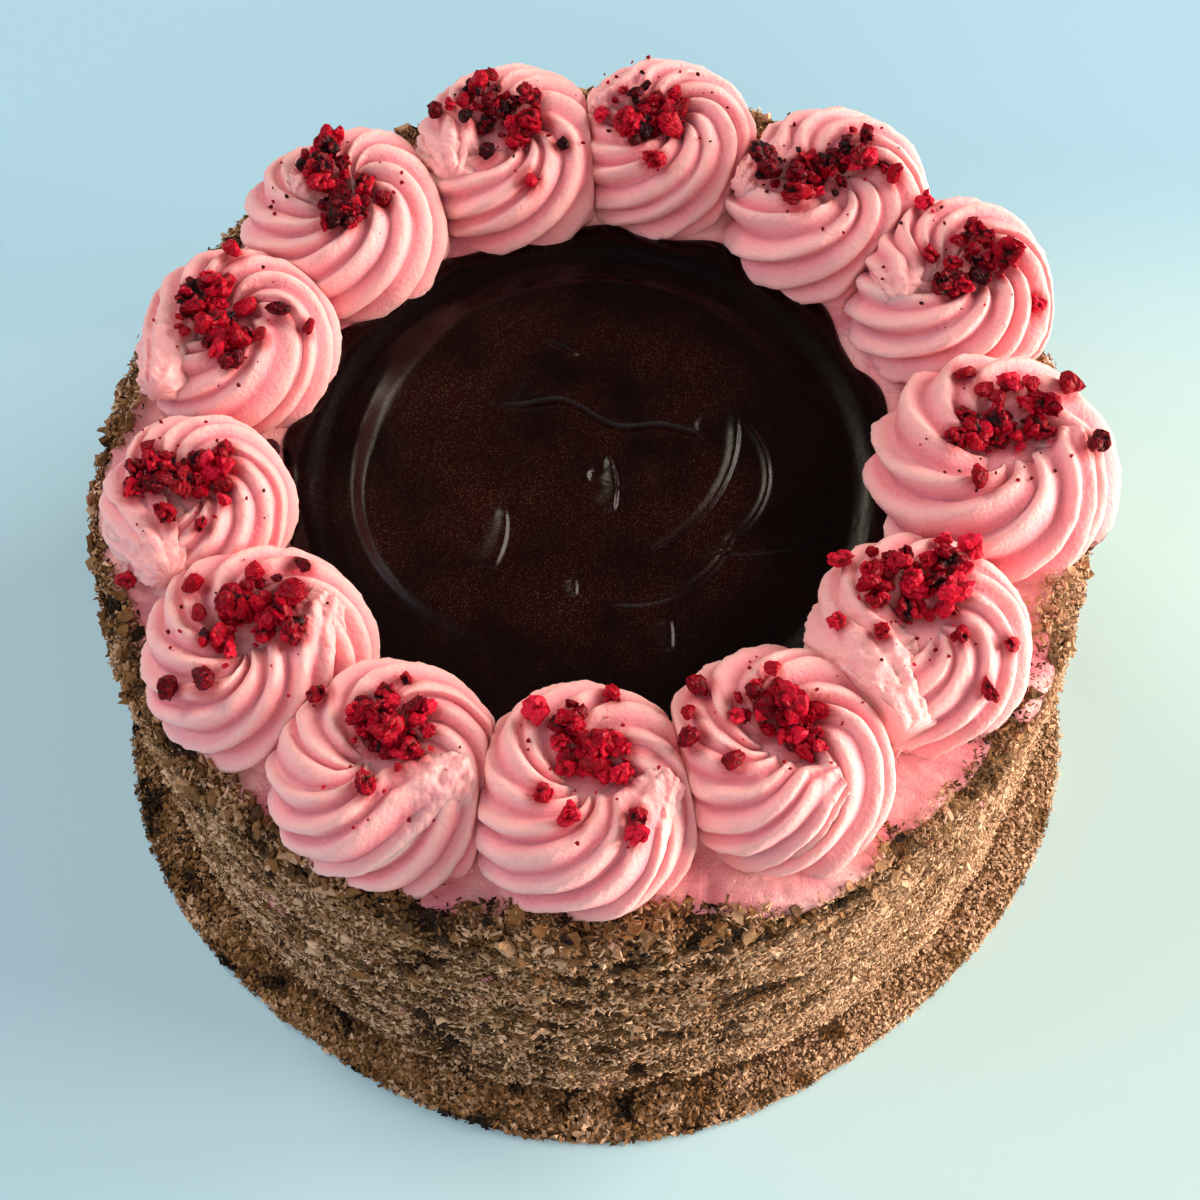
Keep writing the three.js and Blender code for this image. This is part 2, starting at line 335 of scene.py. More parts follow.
@dataclass(frozen=True)
class Buttercream:
    """Whipped butter and sugar tinted with berry: satin, slightly translucent; its pale crests are
    painted highlight and its deeper pink furrows painted shade.
    """

    furrow: str = "#e07c85"
    usual: str = "#f29ca2"
    crest: str = "#f9b9b5"
    # red near the crumbs: part berry stain, part painted red bounce light
    juice: str = "#b8142c"
    mottle_mm: float = 9.0
    mottle_share: float = 0.35   # of the step from furrow to crest, as is the next
    pore_share: float = 0.3
    mean: float = 0.32           # what mottle and pores add on the whole
    pore_mm: float = 0.9
    pore_depth_mm: float = 0.36
    light_depth_mm: float = 1.8

    def material(self) -> bpy.types.Material:
        """Makes the material; it reads the attributes ridge (0 furrow, 1 crest), which paints shade
        in the furrows and a highlight on the crests, and juice, a berry stain with painted red bounce
        light.

        Returns:
            The material.
        """
        material, tree, place = new_material("tinted_buttercream")
        ridge = add_node(tree, "ShaderNodeAttribute", attribute_name="ridge").outputs["Fac"]
        juice = add_node(tree, "ShaderNodeAttribute", attribute_name="juice").outputs["Fac"]
        mottle = add_node(tree, "ShaderNodeTexNoise", {
            "Vector": place, "Scale": 1.0 / (self.mottle_mm * MM), "Detail": 3.0})
        pores = add_node(tree, "ShaderNodeTexNoise", {
            "Vector": place, "Scale": 1.0 / (self.pore_mm * MM), "Detail": 3.0})
        uneven = add_node(tree, "ShaderNodeMath", {
            0: mottle.outputs["Fac"], 1: self.mottle_share, 2: ridge}, operation="MULTIPLY_ADD")
        grainy = add_node(tree, "ShaderNodeMath", {
            0: pores.outputs["Fac"], 1: self.pore_share, 2: uneven.outputs[0],
        }, operation="MULTIPLY_ADD")
        level = add_node(tree, "ShaderNodeMath", {
            0: grainy.outputs[0], 1: self.mean}, operation="SUBTRACT")
        # Painted shade and highlight: the ramp runs from furrow colour in the furrows to crest colour
        # on the crests.
        tint = add_node(tree, "ShaderNodeValToRGB", {"Fac": level.outputs[0]}, ramp=[
            (0.0, self.furrow), (0.34, self.usual), (1.0, self.crest)])
        # Near the crumbs the cream turns red: berry stain and painted red bounce light.
        stained = add_node(tree, "ShaderNodeMix", {
            "Factor": juice, "A": tint.outputs["Color"], "B": linear(self.juice)}, data_type="RGBA")
        relief = add_node(tree, "ShaderNodeBump", {
            "Height": pores.outputs["Fac"], "Strength": 0.9, "Distance": self.pore_depth_mm * MM})
        shader = add_node(tree, "ShaderNodeBsdfPrincipled", {
            "Base Color": stained.outputs["Result"], "Roughness": 0.62, "IOR": 1.45,
            "Specular IOR Level": 0.3, "Subsurface Weight": 0.45,
            "Subsurface Radius": SHADE_RADIUS, "Subsurface Scale": self.light_depth_mm * MM,
            "Normal": relief.outputs["Normal"]})
        add_node(tree, "ShaderNodeOutputMaterial", {"Surface": shader.outputs[0]})
        return material


@dataclass(frozen=True)
class GratedChocolate:
    """Milk chocolate grated cold: dry broken edges, dull, tan where light catches them."""

    dark: str = "#170b05"
    usual: str = "#8a6038"
    pale: str = "#dbb290"
    cloud_mm: float = 1.1
    cloud_share: float = 0.4     # of the step from dark to pale
    mean: float = 0.2            # what the cloud adds on the whole
    grain_depth_mm: float = 0.2

    def material(self) -> bpy.types.Material:
        """Makes the material for scattered shavings, which read their tone, with painted light and
        shade in it.

        Returns:
            The material.
        """
        material, tree, place = new_material("grated_milk_chocolate")
        tone = add_node(tree, "ShaderNodeAttribute", attribute_name="tone").outputs["Fac"]
        cloud = add_node(tree, "ShaderNodeTexNoise", {
            "Vector": place, "Scale": 1.0 / (self.cloud_mm * MM), "Detail": 2.0})
        shade = add_node(tree, "ShaderNodeMath", {
            0: cloud.outputs["Fac"], 1: self.cloud_share, 2: tone}, operation="MULTIPLY_ADD")
        level = add_node(tree, "ShaderNodeMath", {
            0: shade.outputs[0], 1: self.mean}, operation="SUBTRACT")
        tint = add_node(tree, "ShaderNodeValToRGB", {"Fac": level.outputs[0]}, ramp=[
            (0.0, self.dark), (0.5, self.usual), (1.0, self.pale)])
        relief = add_node(tree, "ShaderNodeBump", {
            "Height": cloud.outputs["Fac"], "Strength": 0.4, "Distance": self.grain_depth_mm * MM})
        shader = add_node(tree, "ShaderNodeBsdfPrincipled", {
            "Base Color": tint.outputs["Color"], "Roughness": 0.75,
            "Specular IOR Level": 0.16, "Normal": relief.outputs["Normal"]})
        add_node(tree, "ShaderNodeOutputMaterial", {"Surface": shader.outputs[0]})
        return material


@dataclass(frozen=True)
class CoatedSide:
    """The cake's coat: bare buttercream on top, and fine chocolate dust pressed in below it."""

    cream: Buttercream = Buttercream()
    dust_deep: str = "#180c06"
    dust: str = "#4a3120"
    dust_pale: str = "#8d6842"
    grain_mm: float = 1.3
    grain_depth_mm: float = 0.8
    clump_light_dust: float = 0.3       # how much lighter dust and cream are painted on a clump: painted light
    clump_light_cream: float = 0.22

    def material(self) -> bpy.types.Material:
        """Makes the material.

        It reads the attributes dusted (0 bare buttercream, 1 chocolate) and heaped (0 in a
        pocket, 1 on a clump, high too on the near right), which paints light on clumps and shade
        in pockets, and on the near right finer, paler dust with painted light.

        Returns:
            The material.
        """
        material, tree, place = new_material("buttercream_coat_with_chocolate_dust")
        dusted = add_node(tree, "ShaderNodeAttribute", attribute_name="dusted").outputs["Fac"]
        mottle = add_node(tree, "ShaderNodeTexNoise", {
            "Vector": place, "Scale": 1.0 / (self.cream.mottle_mm * MM), "Detail": 3.0})
        heaped = add_node(tree, "ShaderNodeAttribute", attribute_name="heaped").outputs["Fac"]
        grain = add_node(tree, "ShaderNodeTexNoise", {
            "Vector": place, "Scale": 1.0 / (self.grain_mm * MM), "Detail": 4.0, "Roughness": 0.65,
            "Distortion": 1.5})
        # Painted light and shade: dust and cream lighter on clumps, darker in pockets.
        shade = add_node(tree, "ShaderNodeMath", {
            0: heaped, 1: self.clump_light_dust, 2: grain.outputs["Fac"]}, operation="MULTIPLY_ADD")
        spread = add_node(tree, "ShaderNodeMath", {
            0: heaped, 1: self.clump_light_cream, 2: mottle.outputs["Fac"]}, operation="MULTIPLY_ADD")
        bare = add_node(tree, "ShaderNodeValToRGB", {"Fac": spread.outputs[0]}, ramp=[
            (0.25, self.cream.furrow), (0.55, self.cream.usual), (0.8, self.cream.crest)])
        chocolate = add_node(tree, "ShaderNodeValToRGB", {"Fac": shade.outputs[0]}, ramp=[
            (0.45, self.dust_deep), (0.62, self.dust), (0.85, self.dust_pale)])
        edge = add_node(tree, "ShaderNodeMath", {
            0: grain.outputs["Fac"], 1: 0.9, 2: dusted}, operation="MULTIPLY_ADD")
        cover = add_node(tree, "ShaderNodeMapRange", {
            "Value": edge.outputs[0], "From Min": 0.85, "From Max": 1.0})
        colour = add_node(tree, "ShaderNodeMix", {
            "Factor": cover.outputs[0], "A": bare.outputs["Color"], "B": chocolate.outputs["Color"],
        }, data_type="RGBA")
        relief = add_node(tree, "ShaderNodeBump", {
            "Height": grain.outputs["Fac"], "Strength": 0.9, "Distance": self.grain_depth_mm * MM})
        shader = add_node(tree, "ShaderNodeBsdfPrincipled", {
            "Base Color": colour.outputs["Result"], "Roughness": 0.7,
            "Specular IOR Level": 0.16, "Normal": relief.outputs["Normal"]})
        add_node(tree, "ShaderNodeOutputMaterial", {"Surface": shader.outputs[0]})
        return material


@dataclass(frozen=True)
class Ganache:
    """Dark chocolate melted into cream and set: near black, satin, with faint golden flecks.

    The flecks are fine air bubbles and sugar. Colour and flecks dim away from a disc left of
    the axis, so the rim and the right side come out darker: painted shade.
    """

    deep: str = "#0d0201"
    usual: str = "#200504"
    fleck: str = "#573f22"
    fleck_mm: float = 0.5
    cloud_mm: float = 16.0
    grain_mm: float = 0.9
    grain_depth_mm: float = 0.08
    shade_middle_mm: float = -8.0     # the painted shade is least about this point, left of the axis
    shade_disc_mm: tuple[float, float] = (34.0, 52.0)      # radii where the painted shade begins and is full

    def material(self) -> bpy.types.Material:
        """Makes the material; it reads the attribute crease (1 down a fold's crease), where the
        reflection is turned off so the crease reads dark: painted shade.

        Returns:
            The material.
        """
        material, tree, place = new_material("set_dark_ganache")
        cloud = add_node(tree, "ShaderNodeTexNoise", {
            "Vector": place, "Scale": 1.0 / (self.cloud_mm * MM), "Detail": 3.0})
        fine = add_node(tree, "ShaderNodeTexNoise", {
            "Vector": place, "Scale": 1.0 / (self.grain_mm * MM), "Detail": 3.0})
        # Painted shade: colour and flecks dim away from the disc, darkest at the rim and on the
        # right.
        across = add_node(tree, "ShaderNodeVectorMath", {
            0: place, 1: (self.shade_middle_mm * MM, 0.0, CAKE_HEIGHT * MM)}, operation="DISTANCE")
        rim_shade_factor = add_node(tree, "ShaderNodeMapRange", {
            "Value": across.outputs["Value"], "From Min": self.shade_disc_mm[1] * MM,
            "From Max": self.shade_disc_mm[0] * MM, "To Min": 0.55}, interpolation_type="SMOOTHSTEP")
        cloud_and_rim_shade = add_node(tree, "ShaderNodeMath", {
            0: cloud.outputs["Fac"], 1: rim_shade_factor.outputs[0]}, operation="MULTIPLY")
        base = add_node(tree, "ShaderNodeValToRGB", {"Fac": cloud_and_rim_shade.outputs[0]}, ramp=[
            (0.3, self.deep), (0.7, self.usual)])
        cells = add_node(tree, "ShaderNodeTexVoronoi", {
            "Vector": place, "Scale": 1.0 / (self.fleck_mm * MM)})
        crease = add_node(tree, "ShaderNodeAttribute", attribute_name="crease").outputs["Fac"]
        near = add_node(tree, "ShaderNodeMapRange", {
            "Value": cells.outputs["Distance"], "From Min": 0.3, "From Max": 0.1})
        sparse = add_node(tree, "ShaderNodeMapRange", {
            "Value": cloud_and_rim_shade.outputs[0], "From Min": 0.3, "From Max": 0.65})
        share = add_node(tree, "ShaderNodeMath", {
            0: near.outputs[0], 1: sparse.outputs[0]}, operation="MULTIPLY")
        colour = add_node(tree, "ShaderNodeMix", {
            "Factor": share.outputs[0], "A": base.outputs["Color"], "B": linear(self.fleck),
        }, data_type="RGBA")
        gloss = add_node(tree, "ShaderNodeMapRange", {
            "Value": fine.outputs["Fac"], "To Min": 0.19, "To Max": 0.35})
        # Down the crease the shine is turned off and the gloss blurred, which paints it dark: painted
        # shade.
        dulled = add_node(tree, "ShaderNodeMath", {
            0: crease, 1: 0.5, 2: gloss.outputs[0]}, operation="MULTIPLY_ADD")
        shine = add_node(tree, "ShaderNodeMapRange", {
            "Value": crease, "To Min": 0.22, "To Max": 0.0})
        relief = add_node(tree, "ShaderNodeBump", {
            "Height": fine.outputs["Fac"], "Strength": 0.3, "Distance": self.grain_depth_mm * MM})
        shader = add_node(tree, "ShaderNodeBsdfPrincipled", {
            "Base Color": colour.outputs["Result"], "Roughness": dulled.outputs[0],
            "IOR": 1.46, "Specular IOR Level": shine.outputs[0], "Normal": relief.outputs["Normal"]})
        add_node(tree, "ShaderNodeOutputMaterial", {"Surface": shader.outputs[0]})
        return material


@dataclass(frozen=True)
class DriedBerry:
    """Freeze-dried berry: crimson, brittle and granular; the maroon between the drupelets is painted
    shade.
    """

    shade: str = "#1e0005"
    usual: str = "#9c0019"
    bright: str = "#de1c3a"
    grain_mm: float = 0.7
    grain_share: float = 0.9     # of the step from shade to bright
    mean: float = 0.5            # what the grain adds on the whole
    grain_depth_mm: float = 0.3

    def material(self) -> bpy.types.Material:
        """Makes the material, which reads each crumb's tone, painted shade between drupelets
        included.

        Returns:
            The material.
        """
        material, tree, place = new_material("freeze_dried_berry")
        tone = add_node(tree, "ShaderNodeAttribute", attribute_name="tone").outputs["Fac"]
        grain = add_node(tree, "ShaderNodeTexNoise", {
            "Vector": place, "Scale": 1.0 / (self.grain_mm * MM), "Detail": 3.0})
        shade = add_node(tree, "ShaderNodeMath", {
            0: grain.outputs["Fac"], 1: self.grain_share, 2: tone}, operation="MULTIPLY_ADD")
        level = add_node(tree, "ShaderNodeMath", {
            0: shade.outputs[0], 1: self.mean}, operation="SUBTRACT")
        tint = add_node(tree, "ShaderNodeValToRGB", {"Fac": level.outputs[0]}, ramp=[
            (0.0, self.shade), (0.5, self.usual), (1.0, self.bright)])
        relief = add_node(tree, "ShaderNodeBump", {
            "Height": grain.outputs["Fac"], "Strength": 0.7, "Distance": self.grain_depth_mm * MM})
        shader = add_node(tree, "ShaderNodeBsdfPrincipled", {
            "Base Color": tint.outputs["Color"], "Roughness": 0.42,
            "Specular IOR Level": 0.12, "Normal": relief.outputs["Normal"]})
        add_node(tree, "ShaderNodeOutputMaterial", {"Surface": shader.outputs[0]})
        return material


# ---------------------------------------------------------------- rosettes


@dataclass(frozen=True)
class RosettePlan:
    """Where one rosette stands and how it ends: angles in degrees, lengths in millimetres."""

    azimuth: float
    ring: float
    width: float
    tail: float
    reach: float
    heap: tuple[float, float, float, float]    # the crumbs' middle, length and turn
    strays: tuple[tuple[float, float], ...] = ()
    passing: float = 11.0        # how near the axis the tail passes
    ragged: float = 1.0          # how torn the tail is
    torn_turn: float = 30.0      # degrees of the coil that are torn too
    thinning: float = 0.66       # share of the rope lost by the tip
    ridges: int = 10
    rounding: float = 0.2        # above 0 the crests are round, below 0 the furrows

    @property
    def middle(self) -> np.ndarray:
        """The rosette's axis on the cake's top."""
        angle = math.radians(self.azimuth)
        return np.array([self.ring * math.cos(angle), self.ring * math.sin(angle)])


# Counter-clockwise from the near side, as in the solids.
ROSETTES = (
    RosettePlan(-91.8, 73.6, 46.6, 1, 15.5, (1, 5, 18, -21),
                ((-9, 12), (5, 16), (-8, -4), (-3, -9), (9, -9), (9, -13))),
    RosettePlan(-62.9, 74.6, 45.7, -37, 12.8, (0, 4, 21, -31),
                ((-15, 10), (-17, -1), (-9, -6), (-17, 4)), ragged=0.4),
    RosettePlan(-34.4, 75.7, 44.3, -106, 22.1, (-2, 6, 22, -18),
                ((-15, 13), (-17, -1), (-9, -4), (6, -5), (16, -6), (11, -15), (5, 16), (10, 14)),
                ragged=1.6, torn_turn=120.0, thinning=0.3),
    RosettePlan(-2.9, 81.2, 51.9, 7, 13.5, (-1, 4, 24, 17),
                ((-6, 15), (15, 12), (19, -1), (-6, -11), (17, -3)), ridges=8, rounding=-0.1),
    RosettePlan(26.6, 85.4, 44.3, -150, 14.0, (2, 0, 18, 34), ((16, -8), (-5, 16))),
    RosettePlan(50.1, 80.8, 45.6, -177, 18.0, (-2, 1, 29, 18), ((13, -2),)),
    RosettePlan(77.9, 81.0, 42.0, 169, 15.8, (-1, 1, 19, 20), ((-2, -13), (-13, 0))),
    RosettePlan(101.5, 78.6, 44.9, -138, 16.4, (-3, 3, 23, -36),
                ((-5, -7), (4, -15), (-16, 3), (11, -6))),
    RosettePlan(130.5, 79.3, 46.0, 176, 9.5, (0, 1, 27, -64), passing=7.0),
    RosettePlan(157.3, 78.7, 42.4, -133, 21.8, (-2, -3, 23, -44),
                ((0, 14), (16, -4), (-6, -21), (6, -23), (10, -1))),
    RosettePlan(186.3, 79.1, 38.9, -99, 20.4, (-2, 0, 24, -2), ((-14, -15), (3, -11), (-4, -9))),
    RosettePlan(212.9, 77.4, 46.6, 28, 15.6, (0, 2, 22, 13),
                ((-11, 9), (9, 14), (-15, -12), (-8, -12), (1, 11)), passing=8.5),
    RosettePlan(239.7, 78.2, 46.2, -11, 16.4, (2, 4, 20, -37), ((-12, 11), (4, 14), (-3, -8)),
                passing=8.0),
)


@dataclass
class Rosette:
    """One rosette: a rope with a star section, piped in one turn and a third, then pulled off.

    Lengths are in millimetres for a rosette of the usual width, and grow with it.
    """

    plan: RosettePlan
    number: int
    samples: int = 8             # points across one ridge
    stations: int = 200          # rings along the coil
    tail_stations: int = 52
    coil_degrees: float = 480.0
    opening_degrees: float = 85.0    # in which the coil opens to its full radius
    closing_degrees: float = 80.0    # in which it draws in towards the tail
    taper_degrees: float = 45.0  # of the coil's end, where the rope gets thinner
    start_radius: float = 2.5
    coil_radius: float = 11.2
    rope_start: tuple[float, float] = (5.0, 6.5)     # level and upright radius
    rope_full: tuple[float, float] = (10.8, 13.6)
    height: float = 20.0
    climb: tuple[float, float, float] = (0.62, 0.27, 0.11)   # of it: at once, soon and slowly
    tip_sink: float = 1.2        # how far the tail's tip sags
    tip_round: float = 0.8       # how far its end bulges
    twist: float = 1.1           # turns of the star for each turn of the coil
    furrow_depth: float = 0.25   # of the rope's radius, where it has ten ridges
    low_depth: float = 0.45      # how much deeper the furrows are low down
    uneven_place: float = 0.16   # of a ridge's width
    uneven_depth: float = 0.25   # of a furrow's depth
    slow_wave: float = 0.6
    medium_wave: float = 0.26
    grain: float = 0.1
    crest_grain: float = 0.25    # added on the crests
    torn_height: float = 1.3
    torn_grain: float = 0.4
    torn_stretch: float = 0.38   # tears are longer along the rope
    core_reach: tuple[float, ...] = (7.0, 8.5, 8.0, 6.5, 4.8, 3.2, 1.6)
    core_level: tuple[float, ...] = (0.1, 0.45, 0.62, 0.71, 0.76, 0.78, 0.78)    # of the height
    core_columns: int = 36
    core_relief: float = 0.7
    give: float = 1.5            # how far cream yields where two rosettes press together
    press_margin: float = 1.2
    foot_depth: float = 0.5      # how far the foot sinks into the coat
    juice_and_red_bounce_range: float = 30.0    # crumbs farther off than this tint nothing
    juice_and_red_bounce_reach: float = 1.1
    juice_and_red_bounce_strength: float = 0.75
    points: np.ndarray | None = field(default=None, init=False)
    piece: bpy.types.Object | None = field(default=None, init=False)

    @property
    def name(self) -> str:
        """The solid that this rosette stands for."""
        return f"rosette_{self.number:02d}"

    @property
    def size(self) -> float:
        """How large the rosette is beside one of the usual width."""
        return self.plan.width / USUAL_WIDTH

    @property
    def full_height(self) -> float:
        """Height of the rosette; a wide one is a little higher."""
        return self.height * self.size ** 0.4

    def path(self) -> tuple[np.ndarray, ...]:
        """Works out the rope's middle line and size.

        The coil starts near the axis, low and thin, opens to its full radius in its first
        sixth, goes round once, and leaves along its tangent towards the tail's tip. It gets
        thinner from a little before that.

        Returns:
            Middle points (n, 3), outward directions (n, 3), level and upright radii, and the
            star's turn, all about the rosette's own axis in millimetres and radians.
        """
        plan = self.plan
        usual = self.coil_radius * self.size
        passing = min(plan.passing * self.size, 0.97 * plan.reach)
        tail = math.radians(plan.tail)
        leave = tail - math.acos(passing / plan.reach)
        coil = math.radians(self.coil_degrees)
        back = np.linspace(coil, 0.0, self.stations)
        angle = leave - back
        opened = smooth((coil - back) / math.radians(self.opening_degrees))
        closing = smooth(1.0 - back / math.radians(self.closing_degrees))
        radius = blend(self.start_radius * self.size, usual, opened) + (passing - usual) * closing
        middle = np.stack([radius * np.cos(angle), radius * np.sin(angle)], axis=-1)

        along = np.linspace(0.0, 1.0, self.tail_stations + 1)[1:]
        tip = plan.reach * np.array([math.cos(tail), math.sin(tail)])
        middle = np.vstack([middle, middle[-1] + (tip - middle[-1]) * along[:, None]])
        heading = np.gradient(middle, axis=0)
        heading /= np.linalg.norm(heading, axis=1, keepdims=True)
        outward = np.column_stack([heading[:, 1], -heading[:, 0], np.zeros(len(middle))])

        run = np.concatenate([[0.0], np.cumsum(np.linalg.norm(np.diff(middle, axis=0), axis=1))])
        whole = run[-1]
        even = whole - 0.45 * plan.reach - math.radians(self.taper_degrees) * usual
        taper = np.clip((run - even) / (whole - even), 0.0, 1.0)
        thin = 1.0 - plan.thinning * taper ** 1.3
        grown = smooth(run / (0.2 * whole))
        level, upright = (
            self.size * blend(start, full, grown) * thin
            for start, full in zip(self.rope_start, self.rope_full))
        at_once, soon, slowly = self.climb
        climbed = at_once + soon * grown * smooth(run / (0.35 * whole))
        climbed = climbed + slowly * smooth(run / (0.75 * whole))
        top = self.full_height * climbed - self.tip_sink * taper ** 2
        middle = np.column_stack([middle, top - upright])
        turned_by = np.unwrap(np.arctan2(heading[:, 1], heading[:, 0]))
        star = self.twist * (turned_by - turned_by[0] + 0.3 * taper)
        return middle, outward, level, upright, star

    def section(self) -> tuple[np.ndarray, ...]:
        """Works out the star section.

        Across a ridge the phase p runs from -pi to pi. How far down its furrow a point lies is
        the square of the sine of half of p less the rounding times the sine of p.

        Returns:
            For each point round the rope its angle, its phase, how far down the furrow it lies
            (0 crest, 1 bottom), and its furrow's depth as a share of the rope's radius.
        """
        ridges = self.plan.ridges
        rng = np.random.default_rng(400 + self.number)
        step = (np.arange(self.samples) / self.samples - 0.5) * 2.0
        phase = np.tile(step * np.pi, ridges)
        crests = np.repeat(np.arange(ridges), self.samples)
        aside = np.repeat(self.uneven_place * rng.normal(size=ridges), self.samples)
        turns = crests + aside * np.cos(0.5 * phase) ** 2 + phase / (2.0 * np.pi)
        furrow = np.sin(0.5 * (phase - self.plan.rounding * np.sin(phase))) ** 2
        depth = self.furrow_depth * 10 / ridges * (1.0 + self.uneven_depth * rng.normal(size=ridges))
        return 2.0 * np.pi * turns / ridges, phase, furrow, np.repeat(depth, self.samples)

    def unevenness(
        self, rings: np.ndarray, unrolled: np.ndarray, phase: np.ndarray, ragged: np.ndarray,
    ) -> np.ndarray:
        """How far the cream stands out of the smooth star.

        Slow, medium and fine noise, the fine one stronger on the crests, plus rough noise
        that follows the rope where it is torn.

        Args:
            rings: The smooth star's points, array (rings, points, 3).
            unrolled: The same points with the rope laid straight.
            phase: Where each point lies across its ridge, from -pi to pi.
            ragged: How torn each ring is, array (rings, 1).

        Returns:
            Array (rings, points) in millimetres.
        """
        grid = rings.shape[:2]
        flat = rings.reshape(-1, 3)
        slow = lattice_noise(flat + 31.0 * self.number, 9.0, 5).reshape(grid)
        medium = lattice_noise(flat + 13.0 * self.number, 3.2, 6).reshape(grid)
        fine = rough_noise(flat + 17.0 * self.number, 1.3, 9, 2).reshape(grid)
        torn = rough_noise(unrolled.reshape(-1, 3) + 23.0 * self.number, 1.7, 12).reshape(grid)
        grain = self.grain + self.crest_grain * np.exp(-(phase / 0.6) ** 2)
        shift = self.size * (self.slow_wave * slow + self.medium_wave * medium + grain * fine)
        return shift + ragged * (self.torn_height * torn + self.torn_grain * fine)

    def build(self) -> None:
        """Carries the star along the path.

        A point at star angle s sits at the path's middle plus, outwards, the level radius
        times k cos(s + turn) and, upwards, the upright radius times k sin(s + turn). k is 1 on
        a crest and 1 less the furrow's depth in a furrow.
        """
        middle, outward, level, upright, star = self.path()
        base, phase, furrow, depth = self.section()
        angle = base[None, :] + star[:, None]
        low = 1.0 - self.low_depth * np.sin(angle)
        ragged = self.torn_share(len(star))[:, None] * self.plan.ragged
        factor = 1.0 - (depth * furrow)[None, :] * low * (1.0 - 0.4 * ragged)
        reach_out = level[:, None] * factor * np.cos(angle)
        rings = middle[:, None, :] + outward[:, None, :] * reach_out[..., None]
        rings[..., 2] += upright[:, None] * factor * np.sin(angle)

        away = rings - middle[:, None, :]
        away /= np.linalg.norm(away, axis=-1, keepdims=True) + 1e-6
        run = np.cumsum(np.linalg.norm(np.diff(middle, axis=0, prepend=middle[:1]), axis=1))
        unrolled = np.stack([
            np.broadcast_to(self.torn_stretch * run[:, None], angle.shape),
            level[:, None] * np.cos(base), upright[:, None] * np.sin(base)], axis=-1)
        shift = self.unevenness(rings, unrolled, phase, ragged)
        rings = self.pressed(rings + away * shift[..., None])

        heading = np.cross([0.0, 0.0, 1.0], outward[-1])
        end = rings[-1].mean(axis=0) + heading * self.tip_round
        rope, rope_faces = skin(rings, middle[0], end)
        core, core_faces = self.core()
        self.points = np.vstack([rope, core])
        self.points[:, :2] += self.plan.middle
        self.points[:, 2] = np.maximum(self.points[:, 2], -self.foot_depth) + CAKE_HEIGHT
        faces = np.vstack([rope_faces, core_faces + len(rope)])
        self.piece = make_piece(f"piped_{self.name}", self.points, faces)
        # ridge paints shade in the furrows and a highlight on the crests; torn parts lean to the
        # crest colour.
        ridge = np.broadcast_to(1.0 - furrow[None, :], angle.shape)
        ridge = blend(ridge, 0.8, np.clip(0.8 * ragged, 0, 1))
        ridge = np.concatenate([[0.5], ridge.ravel(), [0.8], np.full(len(core), 0.4)])
        add_attribute(self.piece, "ridge", ridge)

    def core(self) -> tuple[np.ndarray, np.ndarray]:
        """Fills the hollow's floor with a low dome, uneven by noise.

        Returns:
            Points about the rosette's own axis, and triangles.
        """
        reach = self.size * np.array(self.core_reach)
        level = self.full_height * np.array(self.core_level)
        around = np.linspace(0, 2 * np.pi, self.core_columns, endpoint=False)
        rings = np.stack([
            np.outer(reach, np.cos(around)), np.outer(reach, np.sin(around)),
            np.outer(level, np.ones(self.core_columns))], axis=-1)
        relief = rough_noise(rings.reshape(-1, 3) + 7.0 * self.number, 3.0, 21)
        rings[..., 2] += self.core_relief * relief.reshape(rings.shape[:2])
        return skin(rings, np.array([0, 0, level[0]]), np.array([0, 0, level[-1]]))

    def torn_share(self, rings: int) -> np.ndarray:
        """How torn each ring is.

        Args:
            rings: How many rings the rope has.

        Returns:
            0 over the coil, easing to 1 along the tail.
        """
        before = self.plan.torn_turn / self.coil_degrees * self.stations
        share = (np.arange(rings) - self.stations + before) / (before + 0.6 * self.tail_stations)
        return smooth(share)

    def pressed(self, rings: np.ndarray) -> np.ndarray:
        """Flattens the sides that press on the two neighbours.

        Past a plane a little short of the upright plane between two rosettes, the distance d
        beyond it becomes c times 1 less e to the minus d over c, where c is the give.

        Args:
            rings: The rope's points about the rosette's own axis.

        Returns:
            The points after pressing.
        """
        pressed = rings.copy()
        for side in (-1, 1):
            other = ROSETTES[(self.number - 1 + side) % len(ROSETTES)]
            across = other.middle - self.plan.middle
            distance = np.linalg.norm(across)
            normal = across / distance
            share = self.plan.width / (self.plan.width + other.width)
            limit = distance * share - self.press_margin
            past = np.maximum(pressed[..., :2] @ normal - limit, 0.0)
            taken = past - self.give * (1.0 - np.exp(-past / self.give))
            pressed[..., :2] -= taken[..., None] * normal
        return pressed

    def dress(self, cream: bpy.types.Material, crumbs: np.ndarray) -> None:
        """Gives the rosette its finish.

        Args:
            cream: The buttercream material.
            crumbs: Places of the berry crumbs, which tint what they touch red: a berry stain and
                painted red bounce light.
        """
        # The red near each crumb is part berry stain and part painted red bounce light.
        away = np.linalg.norm(crumbs[:, :2] - self.plan.middle, axis=1)
        juice = np.zeros(len(self.points))
        for crumb in crumbs[away < self.juice_and_red_bounce_range]:
            gap = np.linalg.norm(self.points - crumb[:3], axis=1) - 0.6 * crumb[3]
            juice = np.maximum(juice, np.exp(-(np.maximum(gap, 0.0) / self.juice_and_red_bounce_reach) ** 2))
        add_attribute(self.piece, "juice", self.juice_and_red_bounce_strength * juice)
        self.piece.data.materials.append(cream)
        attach(self.piece, BODY)
        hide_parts(self.name)
        log.info("%s: %d triangles", self.piece.name, len(self.piece.data.polygons))


# ---------------------------------------------------------------- berry crumbs


class CrumbKind(Enum):
    """The kinds of berry crumb."""

    CLUSTER = "berry_clusters"
    SHARD = "berry_shards"
    SPECK = "berry_specks"


